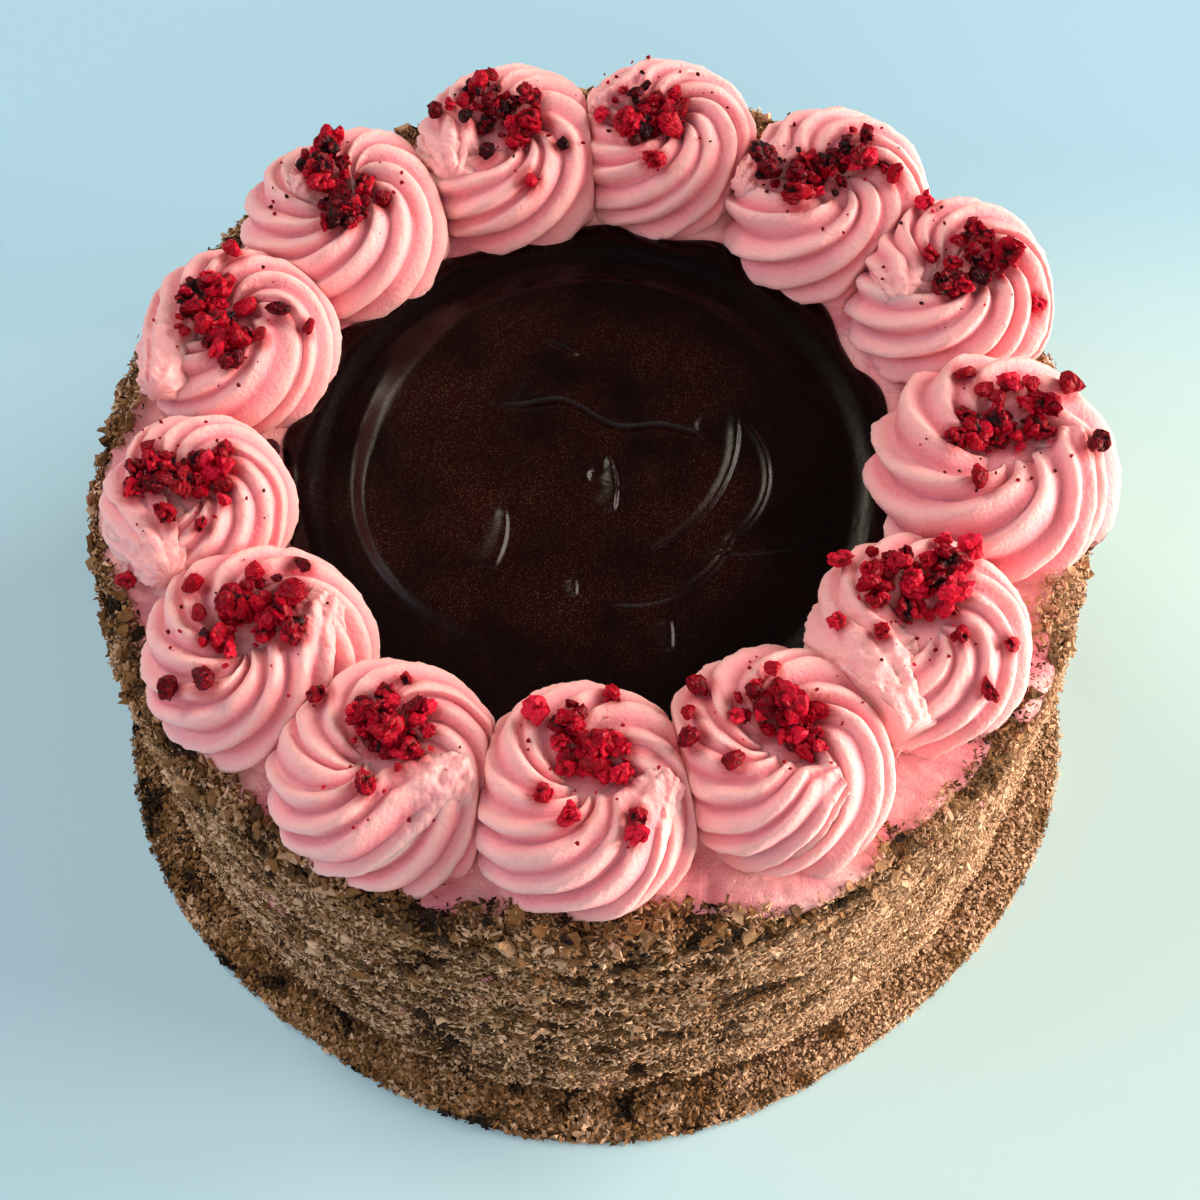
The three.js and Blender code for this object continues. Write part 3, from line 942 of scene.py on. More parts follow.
@dataclass
class BerryCrumbs:
    """Freeze-dried berry strewn in the rosettes' hollows."""

    rosettes: list[Rosette]
    heap: int = 44               # crumbs in a heap of the usual length
    heap_length: float = 22.0
    heap_width: float = 13.0
    heap_height: float = 3.4
    crumb: float = 3.2           # usual diameter in a heap
    crumb_spread: float = 0.34   # of the logarithm of the diameter
    crumb_range: tuple[float, float] = (1.6, 6.4)
    stray_range: tuple[float, float] = (3.0, 5.2)
    specks: int = 24             # round each rosette
    speck_radius: float = 17.0
    speck_range: tuple[float, float] = (0.4, 1.2)
    speck_lowest: float = 4.0    # over the cake's top
    drupelets: int = 26
    swelling: float = 1.2        # makes up for what the flat facets take off

    def surface(self, rosette: Rosette, spots: np.ndarray, radius: float = 1.1) -> np.ndarray:
        """Height of the rosette under some spots.

        Args:
            rosette: The rosette.
            spots: Array (n, 2) in millimetres.
            radius: How near a point of the rosette counts.

        Returns:
            The highest point of the rosette within the radius of each spot.
        """
        apart = np.linalg.norm(rosette.points[None, :, :2] - spots[:, None, :], axis=-1)
        heights = np.where(apart < radius, rosette.points[None, :, 2], CAKE_HEIGHT)
        return heights.max(axis=1)

    def strew(self) -> dict[CrumbKind, np.ndarray]:
        """Draws the places and sizes of all crumbs.

        Returns:
            For each kind an array (n, 4): place and diameter in millimetres.
        """
        found: dict[CrumbKind, list[np.ndarray]] = {kind: [] for kind in CrumbKind}
        for rosette in self.rosettes:
            rng = np.random.default_rng(900 + rosette.number)
            plan = rosette.plan
            x, y, length, turn = plan.heap
            count = self.heap + round(0.9 * (length - self.heap_length))
            along = 0.5 * (length - 3.5) * rng.uniform(-1, 1, count)
            aside = 0.5 * (self.heap_width - 3.0) * rng.normal(0, 0.62, count).clip(-1.3, 1.3)
            cos, sin = math.cos(math.radians(turn)), math.sin(math.radians(turn))
            heap = plan.middle + np.array([x, y]) + np.stack(
                [cos * along - sin * aside, sin * along + cos * aside], axis=-1)
            wide = rng.lognormal(math.log(self.crumb), self.crumb_spread, count)
            wide = wide.clip(*self.crumb_range)
            far = np.hypot(2.0 * along / length, 2.0 * aside / self.heap_width)
            high = self.surface(rosette, heap) + 0.3 * wide
            high += self.heap_height * np.clip(1.0 - far, 0.0, 1.0) * rng.uniform(0.0, 1, count)
            found[CrumbKind.CLUSTER].append(np.column_stack([heap, high, wide])[: count // 2])
            found[CrumbKind.SHARD].append(np.column_stack([heap, high, 0.85 * wide])[count // 2:])

            lone = plan.middle + np.array(plan.strays, dtype=float).reshape(-1, 2)
            wide = rng.uniform(*self.stray_range, len(lone))
            high = self.surface(rosette, lone) + 0.28 * wide
            kind = CrumbKind.CLUSTER if rosette.number % 2 else CrumbKind.SHARD
            found[kind].append(np.column_stack([lone, high, wide]))

            way = rng.uniform(0, 2 * np.pi, self.specks)
            far = self.speck_radius * rng.uniform(0.2, 1.0, self.specks)
            spots = plan.middle + far[:, None] * np.stack([np.cos(way), np.sin(way)], axis=-1)
            wide = rng.uniform(*self.speck_range, self.specks)
            high = self.surface(rosette, spots) + 0.25 * wide
            kept = high > CAKE_HEIGHT + self.speck_lowest
            found[CrumbKind.SPECK].append(np.column_stack([spots, high, wide])[kept])
        return {kind: np.vstack(parts) for kind, parts in found.items()}

    def shapes(
        self, kind: CrumbKind, sizes: np.ndarray, rng: np.random.Generator,
    ) -> tuple[np.ndarray, np.ndarray, np.ndarray]:
        """Makes one closed shape for each crumb.

        In the direction u the skin lies at the least of h over u.n over some random flat
        facets n, which breaks it off flat, and a cluster also bulges over its drupelets as the
        cosine of the angle to the nearest of some random directions.

        Args:
            kind: The kind of crumb.
            sizes: Diameters in millimetres.
            rng: Source of the draws.

        Returns:
            Points (n, points, 3), one crumb's triangles, and how much darker each point is painted,
            as shade between the drupelets.
        """
        rows, columns, facets = {
            CrumbKind.CLUSTER: (13, 20, 5),
            CrumbKind.SHARD: (9, 13, 8),
            CrumbKind.SPECK: (3, 5, 6),
        }[kind]
        latitude = np.linspace(-0.5, 0.5, rows + 2)[1:-1] * np.pi
        longitude = np.linspace(0, 2 * np.pi, columns, endpoint=False)
        unit = np.stack([
            np.outer(np.cos(latitude), np.cos(longitude)),
            np.outer(np.cos(latitude), np.sin(longitude)),
            np.outer(np.sin(latitude), np.ones(columns)),
        ], axis=-1)
        unit, faces = skin(unit, np.array([0, 0, -1.0]), np.array([0, 0, 1.0]))
        count = len(sizes)
        normals = rng.normal(size=(count, facets, 3))
        normals /= np.linalg.norm(normals, axis=-1, keepdims=True)
        offsets = rng.uniform(0.45, 0.85, (count, facets))
        facing = np.maximum(np.einsum("pi,nfi->npf", unit, normals), 1e-3)
        radius = np.minimum((offsets[:, None, :] / facing).min(axis=-1), 1.0)
        darker = np.zeros(radius.shape)
        if kind is CrumbKind.CLUSTER:
            lumps = rng.normal(size=(count, self.drupelets, 3))
            lumps /= np.linalg.norm(lumps, axis=-1, keepdims=True)
            nearest = np.einsum("pi,nli->npl", unit, lumps).max(axis=-1)
            bulge = smooth((nearest - 0.8) / 0.2)
            radius = radius * (0.6 + 0.55 * bulge)
            # Painted shade between the drupelets and painted light on their tops.
            darker = 0.55 * (0.6 - bulge)
        radius = radius * (1.0 + 0.07 * rng.normal(size=radius.shape))
        stretch = np.stack([
            np.ones(count), rng.uniform(0.6, 1.0, count), rng.uniform(0.55, 0.95, count)], axis=-1)
        stretch *= (0.5 * self.swelling * sizes)[:, None]
        return unit[None] * radius[..., None] * stretch[:, None, :], faces, darker

    def build(self) -> np.ndarray:
        """Makes one piece for each kind of crumb.

        Returns:
            Places and diameters of all but the specks, array (n, 4).
        """
        berry = DriedBerry().material()
        found = self.strew()
        for index, (kind, crumbs) in enumerate(found.items()):
            rng = np.random.default_rng(70 + index)
            shapes, faces, darker = self.shapes(kind, crumbs[:, 3], rng)
            frames = turned(len(crumbs), rng, 60.0)
            front = 0.5 - 0.5 * crumbs[:, 1] / np.hypot(crumbs[:, 0], crumbs[:, 1])
            tones = 0.06 + 0.84 * rng.beta(1.2, 1.8, len(crumbs)) + 0.24 * (front - 0.5)
            piece = scatter(kind.value, shapes, faces, frames, crumbs[:, :3], tones[:, None] - darker)
            piece.data.materials.append(berry)
            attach(piece, BODY)
            log.info("%s: %d crumbs, %d triangles", kind.value, len(crumbs), len(piece.data.polygons))
        return np.vstack([found[CrumbKind.CLUSTER], found[CrumbKind.SHARD]])


# ---------------------------------------------------------------- cake body


@dataclass
class CakeCoat:
    """The cake under its shavings: coat, shoulder, top, well and the bank round the foot."""

    shoulder: float = 4.0        # rounding where the side meets the top
    setback: float = 1.9         # of the coat from the radius over the chocolate
    bank_width: float = 9.5
    bank_height: float = 2.4
    notch: float = 1.1           # how far the side draws in just over the bank
    notch_height: float = 7.0
    wave: float = 0.9
    clump_height: float = 1.1
    pit_depth: float = 1.3
    well_depth: float = 3.0
    top_relief: float = 0.7      # how rough the spatula left the cream
    top_start: float = 97.0      # radius of the flat top's outermost ring
    top_step: float = 1.6
    well_inset: float = 8.0      # of the well's wall from the pool's edge
    columns: int = 840
    side_rows: int = 70
    noise_radius: float = 62.0   # of the cylinder on which the side's noise is laid out
    clump_size: float = 3.9
    clump_gain: float = 1.35     # brings the noise up to about -1 to 1
    patch_size: float = 17.0
    bare_from: float = 0.42      # noise at which the cream begins to show
    fine_azimuth: float = -0.45  # radians; there the chocolate is grated finest
    fine_cosines: tuple[float, float] = (0.45, 0.9)    # of the angle from there: begins, is full
    edge_inward: float = 5.5     # from the side to the chocolate's edge on the top
    edge_unevenness: float = 2.6
    edge_size: float = 5.0
    edge_swings: tuple[tuple[float, float, float], ...] = (    # azimuth, half width, millimetres
        (-90, 13, 4.6), (-66, 9, -5.5), (-22, 12, 2.2), (182, 12, -3.5),
    )
    piece: bpy.types.Object | None = field(default=None, init=False)

    @property
    def crease(self) -> float:
        """Height at which the side rises out of the bank."""
        return self.bank_height + 0.4

    def wobble(self, angle: np.ndarray, height: np.ndarray) -> np.ndarray:
        """Slow waviness of the hand-spread side, a sum of three sines.

        Args:
            angle: Azimuths in radians.
            height: Heights in millimetres.

        Returns:
            How far the side stands out, in millimetres.
        """
        coarse = 0.5 * np.sin(3 * angle + 0.045 * height) + 0.2 * np.cos(2 * angle + 0.08 * height)
        return self.wave * (coarse + 0.3 * np.sin(7 * angle - 0.06 * height + 1.3))

    def notch_at(self, height: Any) -> Any:
        """How far the side draws in at a height, easing out upwards from the bank."""
        return self.notch * smooth(1 - (height - self.crease) / self.notch_height)

    def bank(self, angle: np.ndarray) -> np.ndarray:
        """How far the fallen shavings reach out from the foot, in five slow waves."""
        return self.bank_width * (0.85 - 0.15 * np.sin(5 * angle))

    def chocolate_edge(self, angle: np.ndarray) -> np.ndarray:
        """How far in over the shoulder the chocolate runs.

        Args:
            angle: Azimuths in radians.

        Returns:
            Millimetres of top covered, counted inwards from the side; negative where the
            chocolate stops short of the shoulder.
        """
        ring = np.stack([60.0 * np.cos(angle), 60.0 * np.sin(angle), np.zeros_like(angle)], axis=-1)
        noise = rough_noise(ring.reshape(-1, 3), self.edge_size, 77).reshape(angle.shape)
        inward = self.edge_inward + self.edge_unevenness * noise
        for middle, half, extra in self.edge_swings:
            away = np.angle(np.exp(1j * (angle - math.radians(middle)))) / math.radians(half)
            inward = inward + extra * np.exp(-away ** 2)
        return inward

    def clumps(self, points: np.ndarray) -> np.ndarray:
        """Where the pressed shavings heap up and where they leave pockets.

        Noise on the unrolled side, stretched along it, with a finer layer on top.

        Args:
            points: Array (n, 3) in millimetres.

        Returns:
            n numbers of about -1 to 1; pockets are negative.
        """
        azimuth = np.arctan2(points[:, 1], points[:, 0])
        level = self.noise_radius * np.stack([np.cos(azimuth), np.sin(azimuth)], axis=-1)
        wrapped = np.column_stack([level, points[:, 2]])
        return self.clump_gain * rough_noise(wrapped, self.clump_size, 3)

    def dustiness(self, points: np.ndarray) -> np.ndarray:
        """How finely the chocolate was grated there: 1 on the near right, 0 on the left."""
        azimuth = np.arctan2(points[:, 1], points[:, 0])
        begins, full = self.fine_cosines
        return smooth((np.cos(azimuth - self.fine_azimuth) - begins) / (full - begins))

    def patches(self, points: np.ndarray) -> np.ndarray:
        """Slow noise, higher where too little chocolate was pressed on to hide the cream."""
        return rough_noise(points * [1, 1, 1.6], self.patch_size, 55)

    def relief(self, points: np.ndarray) -> np.ndarray:
        """How far the coat stands out: with the clumps, less a pit in each pocket.

        Args:
            points: Array (n, 3) in millimetres.

        Returns:
            n heights in millimetres.
        """
        bumps = self.clumps(points)
        pits = smooth((-bumps - 0.15) / 0.25) * (1.0 - 0.8 * self.dustiness(points))
        return self.clump_height * bumps - self.pit_depth * pits

    def profile(self, angle: np.ndarray) -> np.ndarray:
        """Rings of points from the underside to the well's floor.

        The side is a cylinder with a slow wave and long bumps, which fade at the foot and
        over the rounded shoulder.

        Args:
            angle: One azimuth for each column, in radians.

        Returns:
            Array (rings, columns, 3) in millimetres.
        """
        bank = self.bank(angle)
        radius = [CAKE_RADIUS + share * bank for share in (1.0, 0.95, 0.8, 0.5, 0.2)]
        height = [share * self.bank_height for share in (0.0, 0.45, 0.75, 1.0, 1.0)]
        lumps = [0.0, 0.4, 0.6, 0.6, 0.4]
        bend = CAKE_HEIGHT - self.shoulder
        for level in np.linspace(self.crease, bend, self.side_rows):
            away = self.setback + self.notch_at(level)
            radius.append(CAKE_RADIUS - away + self.wobble(angle, np.full_like(angle, level)))
            height.append(level)
            lumps.append(1.0)
        wobble = self.wobble(angle, np.full_like(angle, bend))
        for turn in np.linspace(0, np.pi / 2, 9)[1:]:
            rounded = CAKE_RADIUS - self.setback - self.shoulder * (1 - math.cos(turn))
            radius.append(rounded + (1 - turn / 1.6) * wobble)
            height.append(CAKE_HEIGHT - self.shoulder * (1 - math.sin(turn)))
            lumps.append(0.6)
        well = POOL_RADIUS - self.well_inset
        for reach in [*np.arange(self.top_start, POOL_RADIUS + 1.0, -self.top_step), well + 0.5]:
            radius.append(reach)
            height.append(CAKE_HEIGHT)
            lumps.append(0.6 if reach > self.top_start - 5.0 else 0.0)
        radius.append(well)
        height.append(CAKE_HEIGHT - self.well_depth)
        lumps.append(0.0)
        radii = np.stack([np.broadcast_to(row, angle.shape) for row in radius])
        levels = np.broadcast_to(np.array(height, dtype=float)[:, None], radii.shape)
        rings = np.stack([radii * np.cos(angle), radii * np.sin(angle), levels], axis=-1)
        shift = np.array(lumps)[:, None] * self.relief(rings.reshape(-1, 3)).reshape(radii.shape)
        out = np.stack([np.cos(angle), np.sin(angle)], axis=-1)
        upward = np.clip((levels - bend) / self.shoulder, 0, 1)
        rings[..., :2] += (shift * (1 - upward))[..., None] * out
        spread = self.top_relief * rough_noise(rings.reshape(-1, 3), 3.4, 31).reshape(radii.shape)
        rings[..., 2] += (0.6 * shift + spread) * upward
        return rings

    def build(self) -> None:
        """Makes the coat and marks where chocolate dust covers it."""
        angle = np.linspace(0, 2 * np.pi, self.columns, endpoint=False)
        rings = self.profile(angle)
        floor = np.array([0, 0, CAKE_HEIGHT - self.well_depth])
        points, faces = skin(rings, np.zeros(3), floor)
        self.piece = make_piece("buttercream_coat", points, faces)
        azimuth = np.arctan2(points[:, 1], points[:, 0])
        inward = CAKE_RADIUS - np.linalg.norm(points[:, :2], axis=1)
        inward -= np.maximum(0.0, CAKE_HEIGHT - 1.0 - points[:, 2])
        short = smooth(0.5 + 0.5 * (self.chocolate_edge(azimuth) - inward))
        bare = smooth((self.patches(points) - self.bare_from) / 0.16) * 0.8
        add_attribute(self.piece, "dusted", short * (1.0 - bare))
        # heaped: painted light on clumps and painted shade in pockets; on the near right also finer
        # dust and painted light.
        heaped = smooth(0.5 + 0.9 * self.clumps(points))
        add_attribute(self.piece, "heaped", np.maximum(heaped, 0.8 * self.dustiness(points)))

    def dress(self) -> None:
        """Gives the coat its finish and its place in the model."""
        self.piece.data.materials.append(CoatedSide().material())
        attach(self.piece, BODY)
        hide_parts("cake_body")
        log.info("%s: %d triangles", self.piece.name, len(self.piece.data.polygons))


class ShavingKind(Enum):
    """The shapes that a grater leaves."""

    SLIVER = "sliver"            # a twisted blade of four faces
    CURL = "curl"                # a ribbon bent into an arc
    FLAKE = "flake"              # a thin chip


@dataclass(frozen=True)
class ShavingBatch:
    """One piece of scattered shavings: how many, how long, and where they lie."""

    name: str
    kind: ShavingKind
    count: int
    length: float
    spread: float                # of the logarithm of the length
    width: float                 # of the length
    tilt: float                  # degrees out of the surface
    proud: float                 # millimetres off the coat
    tone: tuple[float, float]    # mean and spread
    low: float = 0.0             # share of the side's height where they start
    gathered: float = 1.0        # above 1 brings them towards the shoulder
    fallen: bool = False


@dataclass
class ChocolateShavings:
    """Grated chocolate on the side and shoulder, and what fell round the foot."""

    coat: CakeCoat
    batches: tuple[ShavingBatch, ...] = (
        ShavingBatch("slivers_deep_a", ShavingKind.SLIVER, 42000,
                     1.1, 0.35, 0.5, 26.0, 0.1, (0.32, 0.2)),
        ShavingBatch("slivers_deep_b", ShavingKind.SLIVER, 44000,
                     1.1, 0.38, 0.44, 36.0, 0.35, (0.47, 0.24)),
        ShavingBatch("slivers_outer", ShavingKind.SLIVER, 45000,
                     1.1, 0.4, 0.38, 44.0, 0.8, (0.68, 0.24)),
        ShavingBatch("slivers_rim", ShavingKind.SLIVER, 15000,
                     1.4, 0.36, 0.36, 42.0, 0.8, (0.54, 0.2), 0.6, 2.2),
        ShavingBatch("chocolate_curls", ShavingKind.CURL, 5700,
                     2.1, 0.35, 0.24, 32.0, 0.8, (0.62, 0.2), 0.0, 1.5),
        ShavingBatch("chocolate_flakes", ShavingKind.FLAKE, 1300,
                     2.8, 0.38, 0.66, 30.0, 0.9, (0.52, 0.18), 0.25, 2.2),
        ShavingBatch("chocolate_chunks", ShavingKind.FLAKE, 420,
                     3.6, 0.25, 0.8, 50.0, 0.7, (0.46, 0.15), 0.84, 2.0),
        ShavingBatch("fallen_slivers", ShavingKind.SLIVER, 24000,
                     1.15, 0.4, 0.55, 36.0, 0.2, (0.42, 0.17), fallen=True),
    )
    tuck: float = 1.5            # how far under the side the fallen ones reach
    foot: float = 2.0            # lowest height on the side
    rim_heap: float = 2.4        # how high they heap up on the rim
    curl_points: int = 4         # along a curl
    flake_corners: int = 6
    finer: float = 0.3           # how much smaller they are where they are finely grated
    dust_and_painted_light: tuple[float, float] = (0.26, 0.16)   # how much paler there, and more low down: finer dust and painted light

    def fallen_places(
        self, batch: ShavingBatch, rng: np.random.Generator,
    ) -> tuple[np.ndarray, np.ndarray]:
        """Draws where shavings lie on the bank round the foot.

        Args:
            batch: The batch.
            rng: Source of the draws.

        Returns:
            Places (n, 3), and outward directions (n, 3).
        """
        angle = rng.uniform(-np.pi, np.pi, batch.count)
        cos, sin = np.cos(angle), np.sin(angle)
        share = rng.uniform(0, 1, batch.count) ** 0.8
        bank = self.coat.bank(angle) + 0.4
        radius = CAKE_RADIUS - self.tuck + share * (bank + self.tuck)
        height = self.coat.bank_height * np.sqrt(np.clip(1.02 - share ** 2, 0, 1))
        height = np.maximum(height + batch.proud * rng.uniform(0, 4.0, batch.count), 0.5)
        lean = share ** 2
        normal = np.stack([lean * cos, lean * sin, np.sqrt(1 - 0.9 * lean ** 2)], axis=-1)
        return np.stack([radius * cos, radius * sin, height], axis=-1), normal

    def side_places(
        self, batch: ShavingBatch, rng: np.random.Generator,
    ) -> tuple[np.ndarray, np.ndarray]:
        """Draws where shavings stick to the side and shoulder.

        The draw runs up the side and on over the shoulder as far as the chocolate's edge.
        Each is then moved out with the coat's relief, and most in pockets and on bare patches
        are dropped.

        Args:
            batch: The batch.
            rng: Source of the draws.

        Returns:
            Places (n, 3), and outward directions (n, 3).
        """
        coat, count = self.coat, batch.count
        angle = rng.uniform(-np.pi, np.pi, count)
        cos, sin = np.cos(angle), np.sin(angle)
        side = CAKE_HEIGHT - coat.shoulder - self.foot
        over = 0.5 * np.pi * coat.shoulder
        edge = coat.chocolate_edge(angle) - coat.shoulder + over
        share = rng.uniform(0, 1, count) ** (1.0 / batch.gathered)
        share = batch.low + (1.0 - batch.low) * share
        run = share * (side + edge) + rng.normal(0, 0.8, count)
        height = np.clip(run, 0, side) + self.foot
        turn = np.clip((run - side) / over, 0, 1) * 0.5 * np.pi
        rim = np.sin(turn)
        inner = np.maximum(run - side - over, 0)
        smooth_side = CAKE_RADIUS - coat.setback - coat.notch_at(height)
        wobble = coat.wobble(angle, height) * np.cos(turn)
        radius = smooth_side - coat.shoulder * (1 - np.cos(turn)) - inner + wobble
        normal = np.stack([np.cos(turn) * cos, np.cos(turn) * sin, rim], axis=-1)
        spots = np.stack([radius * cos, radius * sin, height + coat.shoulder * rim], axis=-1)
        clump = coat.clumps(spots)
        lift = batch.proud * rng.uniform(0.1, 1.5, count) + coat.relief(spots) * (1 - 0.5 * rim)
        lift += rim * smooth(clump / 0.5) * rng.uniform(0, self.rim_heap, count)
        spots += normal * lift[:, None]
        keep = rng.uniform(-0.8, 0.05, count) < clump + 0.4 * coat.dustiness(spots)
        keep &= coat.patches(spots) < rng.uniform(0.4, 0.8, count)
        return spots[keep], normal[keep]

    def slivers(
        self, long: np.ndarray, wide: np.ndarray, rng: np.random.Generator,
    ) -> tuple[np.ndarray, np.ndarray]:
        """Twisted blades: two corners at each end, one of them raised.

        Args:
            long: Lengths in millimetres.
            wide: Widths in millimetres.
            rng: Source of the draws.

        Returns:
            Points (n, 4, 3) and one sliver's triangles.
        """
        corner = np.array([[-1.0, -1.0], [-1.0, 1.0], [1.0, 1.0], [1.0, -1.0]])
        flat = corner * (1.0 + rng.uniform(-0.45, 0.1, (len(long), 4, 2)))
        raised = 0.3 * wide + rng.uniform(0.0, 0.2, len(long)) * long
        level = np.array([0.0, 1.0, 0.0, 1.0]) * raised[:, None]
        level_out = 0.5 * flat * np.stack([long, wide], axis=-1)[:, None, :]
        faces = np.array([[1, 0, 3], [1, 3, 2], [0, 1, 2], [0, 2, 3]])
        return np.concatenate([level_out, level[..., None]], axis=-1), faces

    def curls(
        self, long: np.ndarray, wide: np.ndarray, rng: np.random.Generator,
    ) -> tuple[np.ndarray, np.ndarray]:
        """Three-sided ribbons, each along an arc of random bend.

        Args:
            long: Lengths in millimetres.
            wide: Widths in millimetres.
            rng: Source of the draws.

        Returns:
            Points (n, points, 3) and one curl's triangles.
        """
        bend = np.radians(rng.uniform(40.0, 210.0, len(long)))
        radius = (long / bend)[:, None, None]
        along = bend[:, None, None] * np.linspace(-0.5, 0.5, self.curl_points)[None, :, None]
        across = np.array([-0.5, 0.5, 0.0]) * wide[:, None, None]
        above = radius + np.array([0.0, 0.0, 0.45]) * wide[:, None, None]
        x, z = above * np.sin(along), above * np.cos(along) - radius
        rings = np.stack([x, np.broadcast_to(across, x.shape), z], axis=-1)
        rings[..., 1:] *= rng.choice([-1.0, 1.0], len(long))[:, None, None, None]
        return self.closed(rings)

    def flakes(
        self, long: np.ndarray, wide: np.ndarray, rng: np.random.Generator,
    ) -> tuple[np.ndarray, np.ndarray]:
        """Thin chips: an uneven hexagon and a second one a little above it.

        Both are bent as the square of the distance along them.

        Args:
            long: Lengths in millimetres.
            wide: Widths in millimetres.
            rng: Source of the draws.

        Returns:
            Points (n, points, 3) and one flake's triangles.
        """
        count, corners = len(long), self.flake_corners
        turn = np.linspace(0, 2 * np.pi, corners, endpoint=False)
        rim = rng.uniform(0.6, 1.15, (count, corners))
        x = 0.5 * long[:, None] * rim * np.cos(turn)
        y = 0.5 * wide[:, None] * rim * np.sin(turn)
        bent = rng.uniform(-0.1, 0.4, (count, 1)) * long[:, None] * (2.0 * x / long[:, None]) ** 2
        half = 0.1 * long[:, None] * rng.uniform(0.5, 1.5, (count, 1))
        below = np.stack([x, y, bent - half], axis=-1)
        above = np.stack([x, y, bent + half], axis=-1)
        return self.closed(np.stack([below, above], axis=1))

    def closed(self, rings: np.ndarray) -> tuple[np.ndarray, np.ndarray]:
        """Closes each shaving over its first and last ring, from their middles.

        Args:
            rings: Array (n, rings, corners, 3).

        Returns:
            Points (n, points, 3) and one shaving's triangles.
        """
        poles = rings[:, [0, -1]].mean(axis=2)
        _, faces = skin(rings[0], poles[0, 0], poles[0, 1])
        flat = rings.reshape(len(rings), -1, 3)
        return np.concatenate([poles[:, :1], flat, poles[:, 1:]], axis=1), faces

    def tones(
        self, batch: ShavingBatch, spots: np.ndarray, rng: np.random.Generator,
    ) -> np.ndarray:
        """How pale each shaving is.

        The batch's own tone and spread, with painted light on clumps and painted shade in pockets,
        a little darker near the top, and paler low down and where the chocolate is finely grated:
        finer dust there, and painted light.

        Args:
            batch: The batch.
            spots: Places (n, 3) in millimetres.
            rng: Source of the draws.

        Returns:
            n numbers from 0, dark, to 1, pale.
        """
        dust = self.coat.dustiness(spots)
        mean, spread = batch.tone
        tones = mean + spread * rng.normal(size=len(spots)) * (1.0 - 0.5 * dust)
        clump = rough_noise(spots, 5.0, 3) if batch.fallen else self.coat.clumps(spots)
        # Painted light on clumps and painted shade in pockets.
        tones += (0.5 - 0.15 * dust) * clump - 0.35 * smooth((-clump - 0.2) / 0.2)
        tones -= 0.1 * smooth((spots[:, 2] - 80.0) / 15.0)
        # Paler low down and on the finely grated near right: finer dust and painted light.
        low = smooth((60.0 - spots[:, 2]) / 40.0)
        paler, paler_low = self.dust_and_painted_light
        return np.clip(tones + 0.05 * low + dust * (paler + paler_low * low), 0, 1)

    def build(self) -> None:
        """Scatters each batch and gives it its finish."""
        material = GratedChocolate().material()
        makers = {
            ShavingKind.SLIVER: self.slivers,
            ShavingKind.CURL: self.curls,
            ShavingKind.FLAKE: self.flakes,
        }
        for index, batch in enumerate(self.batches):
            rng = np.random.default_rng(3000 + index)
            places = self.fallen_places if batch.fallen else self.side_places
            spots, normals = places(batch, rng)
            spread = rng.normal(size=len(spots)).clip(-2.5, 1.5)
            long = batch.length * np.exp(batch.spread * spread)
            wide = long * batch.width * rng.uniform(0.6, 1.4, len(spots))
            shapes, faces = makers[batch.kind](long, wide, rng)
            shapes *= 1.0 - self.finer * self.coat.dustiness(spots)[:, None, None]
            sideways = np.cross([0.0, 0.0, 1.0], normals + np.array([1e-6, 0.0, 0.0]))
            sideways /= np.linalg.norm(sideways, axis=1, keepdims=True)
            seat = np.stack([sideways, np.cross(normals, sideways), normals], axis=-1)
            frames = seat @ turned(len(spots), rng, batch.tilt)
            tones = self.tones(batch, spots, rng)
            piece = scatter(batch.name, shapes, faces, frames, spots, tones[:, None])
            piece.data.materials.append(material)
            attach(piece, BODY)
            triangles = len(piece.data.polygons)
            log.info("%s: %d shavings, %d triangles", batch.name, len(spots), triangles)


# ---------------------------------------------------------------- ganache


@dataclass(frozen=True)
class SpatulaMark:
    """An arc left by the spatula: millimetres, and degrees of azimuth about its own middle."""

    x: float
    y: float
    radius: float
    start: float
    end: float
    height: float
    width: float
    steep: float = 0.35          # how much narrower the outer flank is
    taper: float = 0.0           # how much wider it is at its start than in its middle

    def rise(self, x: np.ndarray, y: np.ndarray) -> np.ndarray:
        """How high the mark stands.

        Its height times e to the minus (distance from the arc over the width), squared, which
        fades past the arc's ends.

        Args:
            x: Places in millimetres.
            y: Places in millimetres.

        Returns:
            Heights in millimetres.
        """
        dx, dy = x - self.x, y - self.y
        middle = math.radians(0.5 * (self.start + self.end))
        half = math.radians(0.5 * (self.end - self.start))
        along = np.angle(np.exp(1j * (np.arctan2(dy, dx) - middle))) / half
        width = self.width * (1.0 - self.taper * np.clip(along, -1.0, 1.0))
        across = (np.hypot(dx, dy) - self.radius) / width
        across = np.where(across > 0, across / self.steep, across)
        return self.height * np.exp(-across ** 2) * smooth((1.2 - np.abs(along)) / 0.5)


